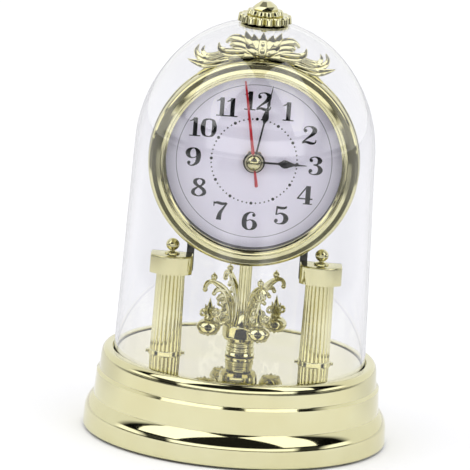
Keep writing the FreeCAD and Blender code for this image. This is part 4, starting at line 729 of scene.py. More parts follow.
# The hands' outlines: distance from the centre and half width in mm.
MINUTE_HAND = ((20.4, 0.46), (21.4, 0.75), (22.6, 1.5), (23.6, 1.7), (24.8, 1.5), (27.0, 0.95), (29.4, 0.45),
               (30.2, 0.75), (31.0, 0.85), (31.8, 0.55), (33.0, 0.42), (40.4, 0.14))
HOUR_HAND = ((12.2, 0.48), (13.2, 1.0), (14.6, 2.0), (15.6, 2.15), (16.8, 1.9), (18.8, 1.1), (20.3, 0.62),
             (21.2, 0.75), (22.0, 0.5), (26.6, 0.16))
SECOND_HAND = ((5.0, 0.78), (42.2, 0.48))
SECOND_TAIL = ((5.0, 0.6), (12.0, 0.85), (12.6, 0.5))
# Where each hand points, in degrees clockwise from twelve, and its back and front in mm.
HOUR_PLACE = (90.0, -12.6, -13.0)
MINUTE_PLACE = (9.9, -13.6, -14.0)
SECOND_PLACE = (-9.8, -14.6, -15.0)
TAIL_PLACE = (170.2, -14.6, -15.0)
# A hand's front edge is drawn in to this share over this depth.
HAND_EDGE_SHARE = 0.8
HAND_EDGE_MM = 0.08


def hand(bm, outline, degrees, back, front, hub=None):
    """A flat hand cut to its outline, with slightly drawn-in edges; hub is its bore and its radius."""
    line = ([(0.0, outline[0][1])] if hub else []) + list(outline)
    edge = line + [(r, -w) for r, w in reversed(line)]
    turn = math.radians(degrees)
    head = sizes().head_height / MM
    rows = []
    for y, share in ((back, 1.0), (front + HAND_EDGE_MM, 1.0), (front, HAND_EDGE_SHARE)):
        rows.append([bm.verts.new((r * math.sin(turn) + w * share * math.cos(turn), y,
                                   head + r * math.cos(turn) - w * share * math.sin(turn))) for r, w in edge])
    skin(bm, rows)
    if hub:
        lathe(bm, profile((hub[0], -back), (hub[1], -back), (hub[1], -front, 0, 0.1), (hub[0], -front)), steps=64,
              matrix=head_matrix() @ Matrix.Scale(-1, 4, (0, 0, 1)))


class CLOCK_OT_hands(bpy.types.Operator):
    """Build the three hands and the domed cap over them"""
    bl_idname = "clock.hands"
    bl_label = "Hands"

    def execute(self, context):
        bm = bmesh.new()
        hand(bm, HOUR_HAND, *HOUR_PLACE, (2.4, 3.7))
        to_object("hour_hand_stamped", bm, "hand", "hour", "black_lacquer", "hour_hand")
        bm = bmesh.new()
        hand(bm, MINUTE_HAND, *MINUTE_PLACE, (1.6, 5.5))
        to_object("minute_hand_stamped", bm, "hand", "minute", "black_lacquer", "minute_hand")
        bm = bmesh.new()
        hand(bm, SECOND_HAND, *SECOND_PLACE, (0.5, 3.0))
        hand(bm, SECOND_TAIL, *TAIL_PLACE)
        to_object("second_hand_stamped", bm, "second", "second", "red_lacquer", "second_hand")
        bm = bmesh.new()
        lathe(bm, profile((0, -18.2), (4.7, -15.0, 5.05), (0, -15.0)), steps=64, matrix=head_matrix())
        plated("hand_cap_domed", bm, "second", "hand_cap")
        return {"FINISHED"}


# The ornament as ribbons on the right half: points (x, height, half width) in mm as seen from the front, the
# number of ridges, and how far it lies in front of the lowest ribbon. The left half mirrors it.
ORNAMENT_RIBBONS = (
    # Low leaf that ties the roots together.
    (((0.6, 199.3, 0.9), (6.0, 200.0, 1.7), (12.0, 199.0, 1.7), (18.5, 196.4, 0.8)), 1, 0.0),
    # Long pointed leaf that lies along the bezel.
    (((37.2, 195.6, 0.15), (33.4, 194.3, 1.0), (28.2, 193.4, 1.5), (22.0, 194.4, 1.5), (16.5, 196.0, 1.2)), 2, 0.2),
    # Horn that rises outside and swings under in a bow, and the second ridge inside it.
    (((31.6, 203.4, 0.15), (32.9, 200.2, 0.85), (31.6, 197.4, 1.25), (27.6, 195.9, 1.35), (22.8, 196.9, 1.35),
      (18.0, 198.6, 1.2), (13.0, 199.4, 0.9)), 2, 0.5),
    (((28.9, 203.0, 0.12), (29.8, 200.4, 0.7), (28.2, 198.3, 0.9), (25.0, 198.4, 0.9), (21.6, 199.8, 0.6)), 1, 0.3),
    # Leaf that rises beside the bow.
    (((21.9, 205.2, 0.15), (21.3, 202.2, 1.0), (18.4, 200.4, 1.6), (14.0, 200.3, 1.8), (9.0, 200.8, 1.3)), 2, 0.7),
    # Three curled ribs that fall outwards.
    (((6.0, 204.2, 0.9), (9.6, 207.0, 1.3), (14.0, 207.9, 1.3), (17.4, 206.4, 0.7), (18.0, 204.9, 0.5)), 1, 0.4),
    (((6.0, 202.6, 0.9), (10.0, 204.8, 1.2), (14.0, 205.1, 1.1), (16.4, 203.9, 0.6)), 1, 0.7),
    (((6.0, 200.9, 0.8), (10.0, 202.5, 1.0), (13.6, 202.7, 0.9), (15.4, 201.8, 0.5)), 1, 0.9),
    # Petals of the middle flower, from outside in.
    (((4.6, 202.6, 1.0), (6.4, 206.0, 1.5), (8.0, 208.9, 1.2), (9.0, 211.8, 0.12)), 1, 0.9),
    (((2.0, 199.8, 1.1), (4.6, 202.2, 1.5), (7.0, 203.2, 1.1), (8.8, 205.6, 0.15)), 1, 1.3),
    (((1.6, 201.0, 1.1), (3.4, 205.6, 1.7), (4.4, 208.4, 1.2), (5.0, 210.6, 0.15)), 1, 1.1),
)
MIDDLE_RIBBON = (((0.0, 199.0, 1.3), (0.0, 203.4, 1.9), (0.0, 207.8, 1.5), (0.0, 211.8, 0.15)), 1)
# Raised lozenges up the middle flower: x, height, radius.
LOZENGES = ((0.0, 202.2, 1.5), (0.0, 205.8, 1.2), (2.5, 200.4, 0.9), (-2.5, 200.4, 0.9))
BEZEL_RADIUS_MM = 53.0
ORNAMENT_DEPTH_MM = 13.4
RIBBON_WIDTH_SHARE = 1.4
MIDDLE_LEAN_DEGREES = 8.0
LEAF_FACE_DEGREES = 9.0
OUTER_LEAN_DEGREES = 25.0
VIEW_SLOPE = 0.22
# A ribbon's thickness at a point, and what a full width adds to it.
RIBBON_THIN_MM = 0.35
RIBBON_THICK_MM = 0.9
# A ribbon that ends narrower than this half width runs to a point.
POINTED_BELOW_MM = 0.3
# The rail under the leaves: half its turn, the taper of its ends, and its section as (radius, depth).
RAIL_HALF_DEGREES = 36
RAIL_TAPER_DEGREES = 10
RAIL_SECTION = ((53.12, -13.7), (53.12, -11.45), (54.6, -11.5), (55.0, -12.2), (54.9, -13.0), (54.3, -13.75))


def ridged_section(ridges):
    """A leaf's section from edge to edge: flat ridges with narrow grooves in front, a plain back."""
    front = []
    count = ridges * 8
    for i in range(count + 1):
        across = i * ridges / count
        within = abs(2 * (across - min(math.floor(across), ridges - 1)) - 1)
        front.append((-1 + 2 * i / count, 0.0 if i in (0, count) else 0.5 + 0.5 * (1 - within ** 6)))
    return front + [(1 - 2 * i / 6, -0.45 * math.sqrt(max(0.0, 1 - (1 - 2 * i / 6) ** 2))) for i in range(1, 6)]


def both_ridged(ridges):
    """A section with the same ridges in front and behind."""
    front = [pair for pair in ridged_section(ridges) if pair[1] >= 0]
    return front + [(-across, -depth) for across, depth in front[1:-1]]


class CLOCK_OT_crest(bpy.types.Operator):
    """Build the leafy ornament on top of the bezel"""
    bl_idname = "clock.crest"
    bl_label = "Ornament"

    def lean(self, x):
        """How far the ornament leans back there: little in the middle, more where the dome comes close."""
        outward = min(1.0, max(0.0, (abs(x) - 19.0) / 12.0))
        return math.radians(MIDDLE_LEAN_DEGREES + (OUTER_LEAN_DEGREES - MIDDLE_LEAN_DEGREES) * outward)

    def place(self, x, height):
        """Where a point seen from the front at x and height lies on the ornament, which leans back."""
        root = sizes().head_height / MM + math.sqrt(BEZEL_RADIUS_MM ** 2 - min(abs(x), 44.0) ** 2)
        lean = math.tan(self.lean(x))
        rise = (height - root) / (1 + lean * VIEW_SLOPE)
        return Vector((x, -ORNAMENT_DEPTH_MM + rise * lean, root + rise))

    def ribbon(self, bm, points, ridges, ahead_mm, side):
        line = smooth_stroke(points)
        centres = [self.place(p.x * side, p.y) - Vector((0, ahead_mm, 0)) for p in line]
        sides, fronts = [], []
        face = Vector((0, -math.cos(math.radians(LEAF_FACE_DEGREES)), math.sin(math.radians(LEAF_FACE_DEGREES))))
        for i, p in enumerate(line):
            ahead = ahead_at(centres, i).normalized()
            sides.append(ahead.cross(face).normalized() * p.z * RIBBON_WIDTH_SHARE)
            fronts.append(face * (RIBBON_THIN_MM + RIBBON_THICK_MM * min(1.0, p.z / 1.5)))
        strip(bm, centres, sides, fronts, ridged_section(ridges),
              pointed=(line[0].z < POINTED_BELOW_MM, line[-1].z < POINTED_BELOW_MM))

    def execute(self, context):
        head = sizes().head_height / MM
        bm = bmesh.new()
        for points, ridges, ahead_mm in ORNAMENT_RIBBONS:
            for side in (-1, 1):
                self.ribbon(bm, points, ridges, ahead_mm, side)
        self.ribbon(bm, *MIDDLE_RIBBON, 1.6, 1)
        for x, height, radius in LOZENGES:
            ball(bm, self.place(x, height) + Vector((0, -2.3, 0)), radius, 8, 1.35)
        inner = RAIL_SECTION[0][0]
        rows = []
        for i in range(61):
            angle = math.radians(-RAIL_HALF_DEGREES + 2 * RAIL_HALF_DEGREES * i / 60)
            from_end = (math.radians(RAIL_HALF_DEGREES) - abs(angle)) / math.radians(RAIL_TAPER_DEGREES)
            taper = 0.45 + 0.55 * min(1.0, from_end)
            radii = ((inner + (r - inner) * taper, y) for r, y in RAIL_SECTION)
            rows.append([bm.verts.new((r * math.sin(angle), y, head + r * math.cos(angle))) for r, y in radii])
        skin(bm, rows)
        plated("crest_carved", bm, "stand", "crest", sharp=40)
        return {"FINISHED"}


def sample(points, t):
    """The point at share t of a polyline's length."""
    lengths = [0.0]
    for a, b in zip(points, points[1:]):
        lengths.append(lengths[-1] + (b - a).length)
    goal = t * lengths[-1]
    for i in range(1, len(points)):
        if lengths[i] >= goal:
            span = lengths[i] - lengths[i - 1]
            part = (goal - lengths[i - 1]) / span if span else 0.0
            return points[i - 1].lerp(points[i], part)
    return points[-1]


# The dome's foot and shoulder as (radius, height), its top, its wall and the hole for the finial's stud.
DOME_FOOT_MM = (64.4, 38.4)
DOME_SHOULDER_MM = (61.1, 150.8)
DOME_TOP_MM = 215.8
DOME_WALL_MM = 1.5
STUD_HOLE_MM = 1.65


class CLOCK_OT_dome(bpy.types.Operator):
    """Build the clear dome"""
    bl_idname = "clock.dome"
    bl_label = "Dome"

    def wall(self, inset):
        """The dome's outline from foot to top, drawn in by inset: a slanted wall, then two arcs."""
        (foot_radius, foot), (shoulder_radius, shoulder), top = DOME_FOOT_MM, DOME_SHOULDER_MM, DOME_TOP_MM
        slant = math.hypot(shoulder - foot, foot_radius - shoulder_radius)
        lean_sine = (foot_radius - shoulder_radius) / slant
        lean_cosine = (shoulder - foot) / slant
        join = math.radians(45)
        share = (1 - math.sin(join)) / math.cos(join)
        low = (top - shoulder - shoulder_radius * share) / (
            math.sin(join) - lean_sine - share * (lean_cosine - math.cos(join)))
        low_x = shoulder_radius - low * lean_cosine
        low_z = shoulder - low * lean_sine
        high = (low_x + low * math.cos(join)) / math.cos(join)
        points = []
        for i in range(9):
            t = i / 8
            points.append(Vector((foot_radius + (shoulder_radius - foot_radius) * t - inset * lean_cosine,
                                  foot + (shoulder - foot) * t - (inset * lean_sine if t else 0))))
        start = math.asin(lean_sine)
        for i in range(1, 17):
            turn = start + (join - start) * i / 16
            points.append(Vector((low_x + (low - inset) * math.cos(turn), low_z + (low - inset) * math.sin(turn))))
        for i in range(1, 17):
            turn = join + (math.pi / 2 - join) * i / 16
            points.append(Vector((max((high - inset) * math.cos(turn), STUD_HOLE_MM),
                                  top - high + (high - inset) * math.sin(turn))))
        return points

    def execute(self, context):
        bm = bmesh.new()
        lathe(bm, self.wall(0.0) + self.wall(DOME_WALL_MM)[::-1], steps=256)
        to_object("dome_moulded", bm, "clear", "cover", "clear_plastic", "dome", sharp=40)
        return {"FINISHED"}


# The knob's rows: height, radius and turn in degrees.
KNOB_SIDES = 8
KNOB_ROWS = ((221.0, 6.4, 30.5), (222.0, 6.6, 30.5), (223.4, 5.6, 8), (225.6, 2.5, 8))


def lobes(count, depth):
    """A wave for lathe that scallops a wall of 14 mm radius by depth, and a smaller one by less."""
    def wave(angle, radius, height):
        if radius < 4:
            return radius
        return radius - depth * radius / 14 * (1 - abs(math.sin(angle * count / 2)) ** 0.7)
    return wave


class CLOCK_OT_finial(bpy.types.Operator):
    """Build the scalloped crown and the faceted knob on the dome"""
    bl_idname = "clock.finial"
    bl_label = "Finial"

    def execute(self, context):
        bm = bmesh.new()
        crown = profile((1.65, 215.95), (6.0, 215.6), (10.5, 214.95), (12.4, 214.95, 0, 0.4),
                        (14.0, 215.2, 0, 0.4), (13.5, 218.3, 0, 0.6), (12.9, 218.9, 0, 0.5), (9.0, 218.6),
                        (1.65, 218.6))
        lathe(bm, crown, steps=384, wave=lobes(16, 2.6))
        plated("finial_crown_scalloped", bm, "cover", "finial_crown", sharp=50)
        bm = bmesh.new()
        tier = profile((1.65, 218.6), (8.9, 218.6, 0, 0.3), (9.6, 219.2, 0, 0.6), (8.7, 221.3, 0, 0.8),
                       (6.9, 221.4), (1.65, 221.4))
        lathe(bm, tier, steps=384, wave=lobes(12, 2.4))
        plated("finial_tier_scalloped", bm, "cover", sharp=50)
        bm = bmesh.new()
        rows = []
        for height, radius, turn in KNOB_ROWS:
            angles = [math.radians(360 // KNOB_SIDES * j + turn) for j in range(KNOB_SIDES)]
            rows.append([bm.verts.new((radius * math.cos(a), radius * math.sin(a), height)) for a in angles])
        for i, (low, high) in enumerate(zip(rows, rows[1:])):
            if KNOB_ROWS[i][2] == KNOB_ROWS[i + 1][2]:
                grid_faces(bm, [low, high])
                continue
            for j in range(KNOB_SIDES):
                k = (j + 1) % KNOB_SIDES
                bm.faces.new((low[j], low[k], high[k]))
                bm.faces.new((low[j], high[k], high[j]))
        bm.faces.new(rows[0])
        bm.faces.new(rows[-1])
        tube_along(bm, [Vector((0, 0, 209.6)), Vector((0, 0, 221.0))], [1.6, 1.6], 24)
        plated("finial_knob_faceted", bm, "cover", "finial_knob", sharp=5)
        return {"FINISHED"}


# How the four arms stand, and where a bob hangs: its distance from the axis and its height.
PENDULUM_START_DEGREES = 27.0
BOB_AWAY_MM = 18.9
BOB_HEIGHT_MM = 57.4


class CLOCK_OT_pendulum(bpy.types.Operator):
    """Build the rotary pendulum: tube, bowl, four sprays and four bobs"""
    bl_idname = "clock.pendulum"
    bl_label = "Pendulum"

    def tube(self):
        bm = bmesh.new()

        def grooves(angle, radius, height):
            if radius < 2 or height < 60:
                return radius
            return radius - 0.45 * (1 - abs(math.sin(angle * 4)) ** 0.6) * min(1, (height - 60) / 4)

        outline = profile((1.6, 56.5), (5.2, 56.5, 0, 0.2), (4.6, 58.4), (3.4, 67.0, -32.0), (3.4, 90.6), (1.6, 90.6))
        lathe(bm, outline, steps=192, wave=grooves)
        plated("pendulum_tube_ribbed", bm, "pendulum", "pendulum_tube", sharp=45)

    def bowl(self):
        bm = bmesh.new()
        outline = profile((2.0, 44.9), (5.3, 44.9), (5.3, 41.8), (7.5, 41.8, 0, 0.2), (7.65, 42.4),
                          (7.2, 43.5, 0, 0.3), (6.4, 43.8), (7.1, 45.0, 0.7), (6.4, 46.2, 0.7), (5.9, 46.4),
                          (6.9, 47.5, 0.75), (5.9, 48.6, 0.75), (5.9, 49.2), (8.6, 49.7, 0, 0.5), (9.6, 51.4, 0, 0.9),
                          (9.9, 56.6), (10.3, 57.4, 0, 0.2), (10.3, 58.0, 0, 0.2), (9.6, 58.0, 0, 0.2), (9.2, 57.4),
                          (2.0, 57.2))
        lathe(bm, outline, steps=128)
        plated("pendulum_bowl_turned", bm, "pendulum", "pendulum_bowl", sharp=35)

    def spray(self, number, angle):
        """One arm: an acanthus spray that arches out, curls over and carries a berry."""
        bm = bmesh.new()
        away = Vector((math.cos(angle), math.sin(angle), 0))
        aside = Vector((-math.sin(angle), math.cos(angle), 0))
        up = Vector((0, 0, 1))

        def point(r, z, s=0.0):
            return away * r + up * z + aside * s

        spine = [Vector((6.6, 57.0)), Vector((6.6, 63.0))]
        spine += arc_points(Vector((6.6, 63.0)), Vector((17.76, 80.4)), -19.5, 4)
        spine += arc_points(Vector((17.76, 80.4)), Vector((22.3, 76.6)), -3.35, 12)
        count = 48
        path = [sample(spine, i / count) for i in range(count + 1)]
        centres, sides, fronts = [], [], []
        for i, place in enumerate(path):
            t = i / count
            ahead = ahead_at(path, i)
            normal = Vector((-ahead.y, ahead.x)).normalized()
            width = 1.35 + 1.05 * math.sin(math.pi * min(t * 1.3, 1)) - 0.5 * max(0, t - 0.75) / 0.25
            centres.append(point(place.x, place.y))
            sides.append((away * normal.x + up * normal.y) * width)
            fronts.append(aside * (1.25 - 0.25 * t))
        strip(bm, centres, sides, fronts, both_ridged(2))
        ball(bm, centres[-1], 1.35, 14)
        # Curled lobes along the outer side of the spray.
        for t, length, turn in ((0.14, 5.2, 52), (0.30, 6.0, 44), (0.44, 6.8, 34), (0.57, 7.0, 24)):
            self.lobe(bm, point, aside, sample(spine, t), length, turn)
        berry = (17.6, 82.9)
        ball(bm, point(*berry), 1.75, 20)
        ball(bm, point(berry[0], berry[1] + 1.8), 0.5, 10, 1.3)
        # Rod to the bob, and a scroll over it.
        tube_along(bm, [point(6.5, 58.6), point(9.5, 59.0), point(12.8, 57.9)], [0.95, 0.85, 0.8], 12)
        points, radii = [], []
        for i in range(34):
            s = i / 33
            turn = math.radians(-80 + 500 * s)
            r = 2.5 * (1 - 0.72 * s)
            points.append(point(10.2 + r * math.cos(turn), 61.9 + r * math.sin(turn), 0.4 * s))
            radii.append(0.85 * (1 - 0.35 * s))
        tube_along(bm, points, radii, 10)
        plated(f"pendulum_arm_{number}_acanthus", bm, "pendulum", f"pendulum_arm_{number}", sharp=45)

    def lobe(self, bm, point, aside, base, length, turn):
        """A leaf that leaves the spray outwards and curls down to a rounded end."""
        here = Vector((base.x - 0.4, base.y - 0.2))
        line = [here]
        turn = math.radians(turn)
        steps = 16
        for i in range(steps):
            here = here + Vector((math.cos(turn), math.sin(turn))) * length / steps
            turn -= math.radians(2.0 + 10.0 * i / steps)
            line.append(here)
        centres, sides, fronts = [], [], []
        for i, place in enumerate(line):
            t = i / steps
            ahead = ahead_at(line, i)
            normal = Vector((-ahead.y, ahead.x)).normalized()
            width = 0.95 + 0.55 * math.sin(math.pi * min(1, 1.1 * t))
            centres.append(point(place.x, place.y))
            sides.append(point(normal.x * width, normal.y * width))
            fronts.append(aside * (1.15 - 0.2 * t))
        strip(bm, centres, sides, fronts, both_ridged(1))
        ball(bm, centres[-1], 1.2, 12)

    def bob(self, number, angle):
        """A bob: a sharp-rimmed top with a beaded underside, and a lily with four curls over it."""
        bm = bmesh.new()
        x, y, z = BOB_AWAY_MM * math.cos(angle), BOB_AWAY_MM * math.sin(angle), BOB_HEIGHT_MM
        outline = profile((0, -4.7), (1.6, -4.4, 4.0), (6.2, 0.0, 5.0, 0.15), (2.3, 3.4, 4.4), (1.7, 3.5),
                          (2.5, 3.6, 0, 0.2), (2.7, 4.4, 0, 0.3), (2.1, 5.2, 0, 0.3), (1.0, 5.4), (2.0, 7.3, 3.0),
                          (1.7, 9.4, 0, 1.0), (0.8, 12.2), (0.12, 14.6), (0, 14.7))
        lathe(bm, outline, steps=56, matrix=Matrix.Translation((x, y, z)))
        for i in range(12):
            a = 2 * math.pi * i / 12
            ball(bm, Vector((x + 3.9 * math.cos(a), y + 3.9 * math.sin(a), z - 3.3)), 0.9, 12)
        ball(bm, Vector((x, y, z - 4.6)), 0.85, 12)
        for i in range(4):
            away = Vector((math.cos(angle + math.pi / 2 * i), math.sin(angle + math.pi / 2 * i), 0))
            self.curl(bm, Vector((x, y, z)), away)
            self.petal(bm, Vector((x, y, z + 4.8)), angle + math.pi / 4 + math.pi / 2 * i, 6.4, 1.3, 1.0)
        plated(f"pendulum_bob_{number}_lily", bm, "pendulum", f"pendulum_bob_{number}", sharp=45)

    def curl(self, bm, root, away):
        """A thick volute that leaves the collar, rises and rolls in on itself."""
        up = Vector((0, 0, 1))
        points, radii = [], []
        for i in range(30):
            t = i / 29
            turn = math.radians(215 - 480 * t)
            r = 1.95 * (1 - 0.62 * t)
            points.append(root + away * (3.5 + r * math.cos(turn)) + up * (6.9 + r * math.sin(turn)))
            radii.append(0.85 * (1 - 0.25 * t))
        foot = root + away * 1.2 + up * 4.6
        tube_along(bm, [foot] + points, [0.7] + radii, 10)

    def petal(self, bm, root, angle, length, width, flare):
        """A leaf that stands up from the collar beside the bud."""
        away = Vector((math.cos(angle), math.sin(angle), 0))
        aside = Vector((-math.sin(angle), math.cos(angle), 0))
        up = Vector((0, 0, 1))
        centres, sides, fronts = [], [], []
        steps = 14
        for i in range(steps + 1):
            t = i / steps
            centres.append(root + away * (1.3 + flare * t ** 1.6) + up * length * t)
            sides.append(aside * width * (0.45 + 0.55 * math.sin(math.pi * t ** 0.8)) * (1 - 0.5 * t))
            fronts.append((away * math.cos(t * 0.9) - up * math.sin(t * 0.9)) * 0.55)
        strip(bm, centres, sides, fronts, ridged_section(1), pointed=(False, True))

    def execute(self, context):
        self.tube()
        self.bowl()
        for number in range(1, 5):
            angle = math.radians(PENDULUM_START_DEGREES + 90 * (number - 1))
            self.spray(number, angle)
            self.bob(number, angle)
        return {"FINISHED"}


# Painted shade: how much greyer the floor's colour is painted where it is seen behind clear plastic, beside how the
# camera sees it.
PLASTIC_SHADE_SHARES = (0.81, 0.81, 0.835)
# Painted reflection: where mirrors see the floor painted dark, as if unlit, as grey stops: over the turn from the
# front, as a share of half a turn, and over the metres from the clock.
UNLIT_PARTS = (
    (((0, 1), (0.055, 1), (0.08, 0)), ((0.56, 0), (0.60, 1))),
    (((0, 0), (0.125, 0), (0.16, 1), (0.50, 1), (0.75, 0)), ((0.42, 0), (0.50, 1))),
    (((0, 1), (0.50, 1), (0.75, 0)), ((0.78, 0), (0.88, 1))),
    (((0, 0), (0.50, 0), (0.62, 0.2)), ((0.12, 0), (0.20, 1))),
)
# Painted reflection: the dark that the floor's colour is painted where mirrors see it unlit.
UNLIT_COLOUR = (0.03, 0.03, 0.03, 1)
# The room in mirrors, as grey stops: over the sine of the height above the table, over the share towards the back,
# and over the share towards a side, where a dark upright strip gives round edges dark lines.
SKY_STOPS = ((0.0, 1.0), (0.02, 0.03), (0.05, 0.03), (0.07, 1.6), (0.262, 1.6), (0.285, 0.02), (0.33, 0.012))
BACK_STOPS = ((0.08, 0.0), (0.24, 1.0))
FLANK_STOPS = ((0.72, 1.0), (0.78, 0.03), (0.92, 0.03), (0.97, 1.0))
WHITE = (1, 1, 1, 1)
# The even light of the room on matt surfaces.
ROOM_COLOUR = (0.97, 0.97, 1.0, 1)
ROOM_STRENGTH = 3.0
# Softboxes: name, azimuth and elevation in degrees, width and height, radiance.
SOFTBOXES = (("softbox_left", -62, 48, 1.5, 2.4, 1.75), ("softbox_right", 54, 48, 1.2, 2.4, 1.75))
SOFTBOX_DISTANCE = 2.2
SOFTBOX_TARGET = Vector((0, 0, 0.11))
CAMERA_PLACE = Vector((0, -3.90622, 0.97607))
CAMERA_AIM = Vector((-0.00687, 0, 0.1036))
CAMERA_ROLL_DEGREES = 4.3
CAMERA_LENS_MM = 602.47
SENSOR_MM = 36


class CLOCK_OT_stage(bpy.types.Operator):
    """Set up the floor, the studio light and the camera"""
    bl_idname = "clock.stage"
    bl_label = "Stage"

    def floor(self):
        half = sizes().floor_size / 2
        mesh = bpy.data.meshes.new("floor")
        mesh.from_pydata([(-half, -half, 0), (half, -half, 0), (half, half, 0), (-half, half, 0)], [], [(0, 1, 2, 3)])
        floor = bpy.data.objects.new("floor", mesh)
        bpy.context.scene.collection.objects.link(floor)
        # Paper, matt: an even white ground with the faintest tooth.
        paper = finish_of("paper_matt_white", tuple(colours().floor), roughness=0.9, grain_mm=2.0,
                          grain_depth_mm=0.01)
        mesh.materials.append(paper)
        # The paper's colour also carries painted reflections for mirrors and painted shade behind clear plastic, set
        # below.
        self.table_in_mirrors(paper.node_tree)

    def table_in_mirrors(self, tree):
        """Mirrors see the lit table near the clock, and farther out and behind a painted reflection of the unlit room:
        the floor's colour painted dark.
        Seen through clear plastic the white is painted a little greyer, a painted shade."""
        place = add(tree, "ShaderNodeTexCoord").outputs["Object"]
        axes = add(tree, "ShaderNodeSeparateXYZ", [("Vector", place)]).outputs
        turn = calc(tree, "ARCTAN2", calc(tree, "ABSOLUTE", axes["X"]), calc(tree, "MULTIPLY", axes["Y"], -1))
        share = calc(tree, "DIVIDE", turn, math.pi)
        reach = add(tree, "ShaderNodeVectorMath", [("Vector", place)], operation="LENGTH").outputs["Value"]
        masks = [calc(tree, "MULTIPLY", ramp(tree, share, sector), ramp(tree, reach, distances))
                 for sector, distances in UNLIT_PARTS]
        unlit = masks[0]
        for mask in masks[1:]:
            unlit = calc(tree, "MAXIMUM", unlit, mask)
        mirrored, scattered, through = self.met(tree, "Glossy Depth", "Diffuse Depth", "Transmission Depth")
        direct = calc(tree, "SUBTRACT", through, mirrored, use_clamp=True)
        through_plastic_only = calc(tree, "SUBTRACT", direct, scattered, use_clamp=True)
        white = tuple(colours().floor)
        # Painted shade: the floor's white, painted greyer where it is seen through clear plastic.
        painted_plastic_shade = tuple(c * share for c, share in zip(white, PLASTIC_SHADE_SHARES))
        seen = mix(tree, through_plastic_only, (*white, 1), (*painted_plastic_shade, 1))
        # Painted reflection: for mirrors the floor's colour is painted dark in its unlit parts.
        ground = mix(tree, calc(tree, "MULTIPLY", unlit, mirrored), seen, UNLIT_COLOUR)
        tree.links.new(ground, tree.nodes["Principled BSDF"].inputs["Base Color"])

    def met(self, tree, *depths):
        """For each kind of surface, one where the ray has met it before."""
        path = add(tree, "ShaderNodeLightPath")
        return [calc(tree, "GREATER_THAN", path.outputs[depth], 0.5) for depth in depths]

    def world(self):
        """A plain white room for diffuse light; in mirrors, a dark ceiling and front above a pale horizon."""
        world = bpy.data.worlds.new("studio")
        bpy.context.scene.world = world
        world.use_nodes = True
        tree = world.node_tree
        tree.nodes.clear()
        place = add(tree, "ShaderNodeTexCoord").outputs["Generated"]
        axes = add(tree, "ShaderNodeSeparateXYZ", [("Vector", place)]).outputs
        flank = ramp(tree, calc(tree, "ABSOLUTE", axes["X"]), FLANK_STOPS)
        front = mix(tree, 1.0, ramp(tree, axes["Z"], SKY_STOPS), flank, "MULTIPLY")
        studio = mix(tree, ramp(tree, axes["Y"], BACK_STOPS), front, WHITE)
        mirror = add(tree, "ShaderNodeBackground", [("Color", studio)], Strength=1.0)
        plain = add(tree, "ShaderNodeBackground", Color=ROOM_COLOUR, Strength=ROOM_STRENGTH)
        white = add(tree, "ShaderNodeBackground", Color=WHITE, Strength=1.0)
        # What a mirror sees, whether or not clear plastic lies between.
        mirrored, scattered = self.met(tree, "Glossy Depth", "Diffuse Depth")
        first = add(tree, "ShaderNodeMixShader", [(0, mirrored), (1, white.outputs[0]), (2, mirror.outputs[0])])
        second = add(tree, "ShaderNodeMixShader", [(0, scattered), (1, first.outputs[0]), (2, plain.outputs[0])])
        add(tree, "ShaderNodeOutputWorld", [("Surface", second.outputs[0])])

    def softbox(self, name, azimuth, elevation, width, height, radiance):
        azimuth = math.radians(azimuth)
        elevation = math.radians(elevation)
        light = bpy.data.lights.new(name, "AREA")
        light.shape = "RECTANGLE"
        light.size = width
        light.size_y = height
        light.energy = radiance * math.pi * width * height
        lamp = bpy.data.objects.new(name, light)
        place = Vector((math.sin(azimuth) * math.cos(elevation), -math.cos(azimuth) * math.cos(elevation),
                        math.sin(elevation))) * SOFTBOX_DISTANCE
        lamp.location = SOFTBOX_TARGET + place
        lamp.rotation_euler = (-place).to_track_quat("-Z", "Y").to_euler()
        bpy.context.scene.collection.objects.link(lamp)

    def camera(self):
        ahead = (CAMERA_AIM - CAMERA_PLACE).normalized()
        right = ahead.cross(Vector((0, 0, 1))).normalized()
        above = right.cross(ahead)
        roll = math.radians(CAMERA_ROLL_DEGREES)
        across = right * math.cos(roll) + above * math.sin(roll)
        upright = above * math.cos(roll) - right * math.sin(roll)
        data = bpy.data.cameras.new("camera")
        data.sensor_width = SENSOR_MM
        data.sensor_height = SENSOR_MM
        data.sensor_fit = "HORIZONTAL"
        data.lens = CAMERA_LENS_MM
        data.clip_end = 100
        camera = bpy.data.objects.new("camera", data)
        facing = Matrix((across, upright, -ahead)).transposed().to_4x4()
        camera.matrix_world = Matrix.Translation(CAMERA_PLACE) @ facing
        bpy.context.scene.collection.objects.link(camera)
        bpy.context.scene.camera = camera

    def execute(self, context):
        bpy.context.scene.view_settings.view_transform = "Standard"
        self.floor()
        self.world()
        for settings in SOFTBOXES:
            self.softbox(*settings)
        self.camera()
        return {"FINISHED"}


STEPS = ("finishes", "dress_frame", "base", "columns", "head", "dial_print", "hands", "crest", "dome", "finial",
         "pendulum", "stage")


class CLOCK_PT_panel(bpy.types.Panel):
    """Lists the clock's pieces"""
    bl_idname = "CLOCK_PT_panel"
    bl_label = "Dome clock"
    bl_space_type = "VIEW_3D"
    bl_region_type = "UI"
    bl_category = "Clock"

    def draw(self, context):
        for group in (context.scene.clock_sizes, context.scene.clock_colours):
            for name in group.__annotations__:
                self.layout.prop(group, name)
        for step in STEPS:
            self.layout.operator(f"clock.{step}")


CLASSES = (ClockSizes, ClockColours, CLOCK_OT_finishes, CLOCK_OT_dress_frame, CLOCK_OT_base, CLOCK_OT_columns,
           CLOCK_OT_head, CLOCK_OT_dial_print, CLOCK_OT_hands, CLOCK_OT_crest, CLOCK_OT_dome, CLOCK_OT_finial,
           CLOCK_OT_pendulum, CLOCK_OT_stage, CLOCK_PT_panel)


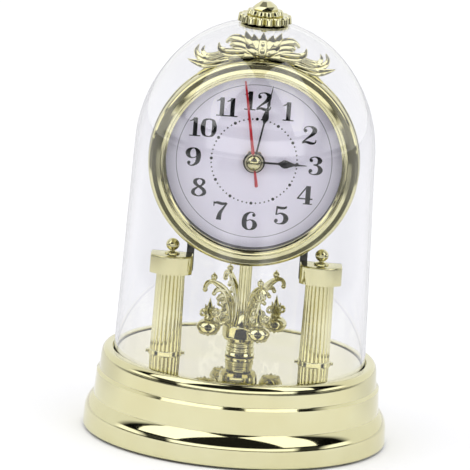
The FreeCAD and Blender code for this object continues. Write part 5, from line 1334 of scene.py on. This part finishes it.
def register():
    for item in CLASSES:
        bpy.utils.register_class(item)
    bpy.types.Scene.clock_sizes = bpy.props.PointerProperty(type=ClockSizes)
    bpy.types.Scene.clock_colours = bpy.props.PointerProperty(type=ClockColours)


def unregister():
    del bpy.types.Scene.clock_sizes
    del bpy.types.Scene.clock_colours
    for item in reversed(CLASSES):
        bpy.utils.unregister_class(item)


def main():
    register()
    for step in STEPS:
        getattr(bpy.ops.clock, step)()


if __name__ == "__main__":
    main()
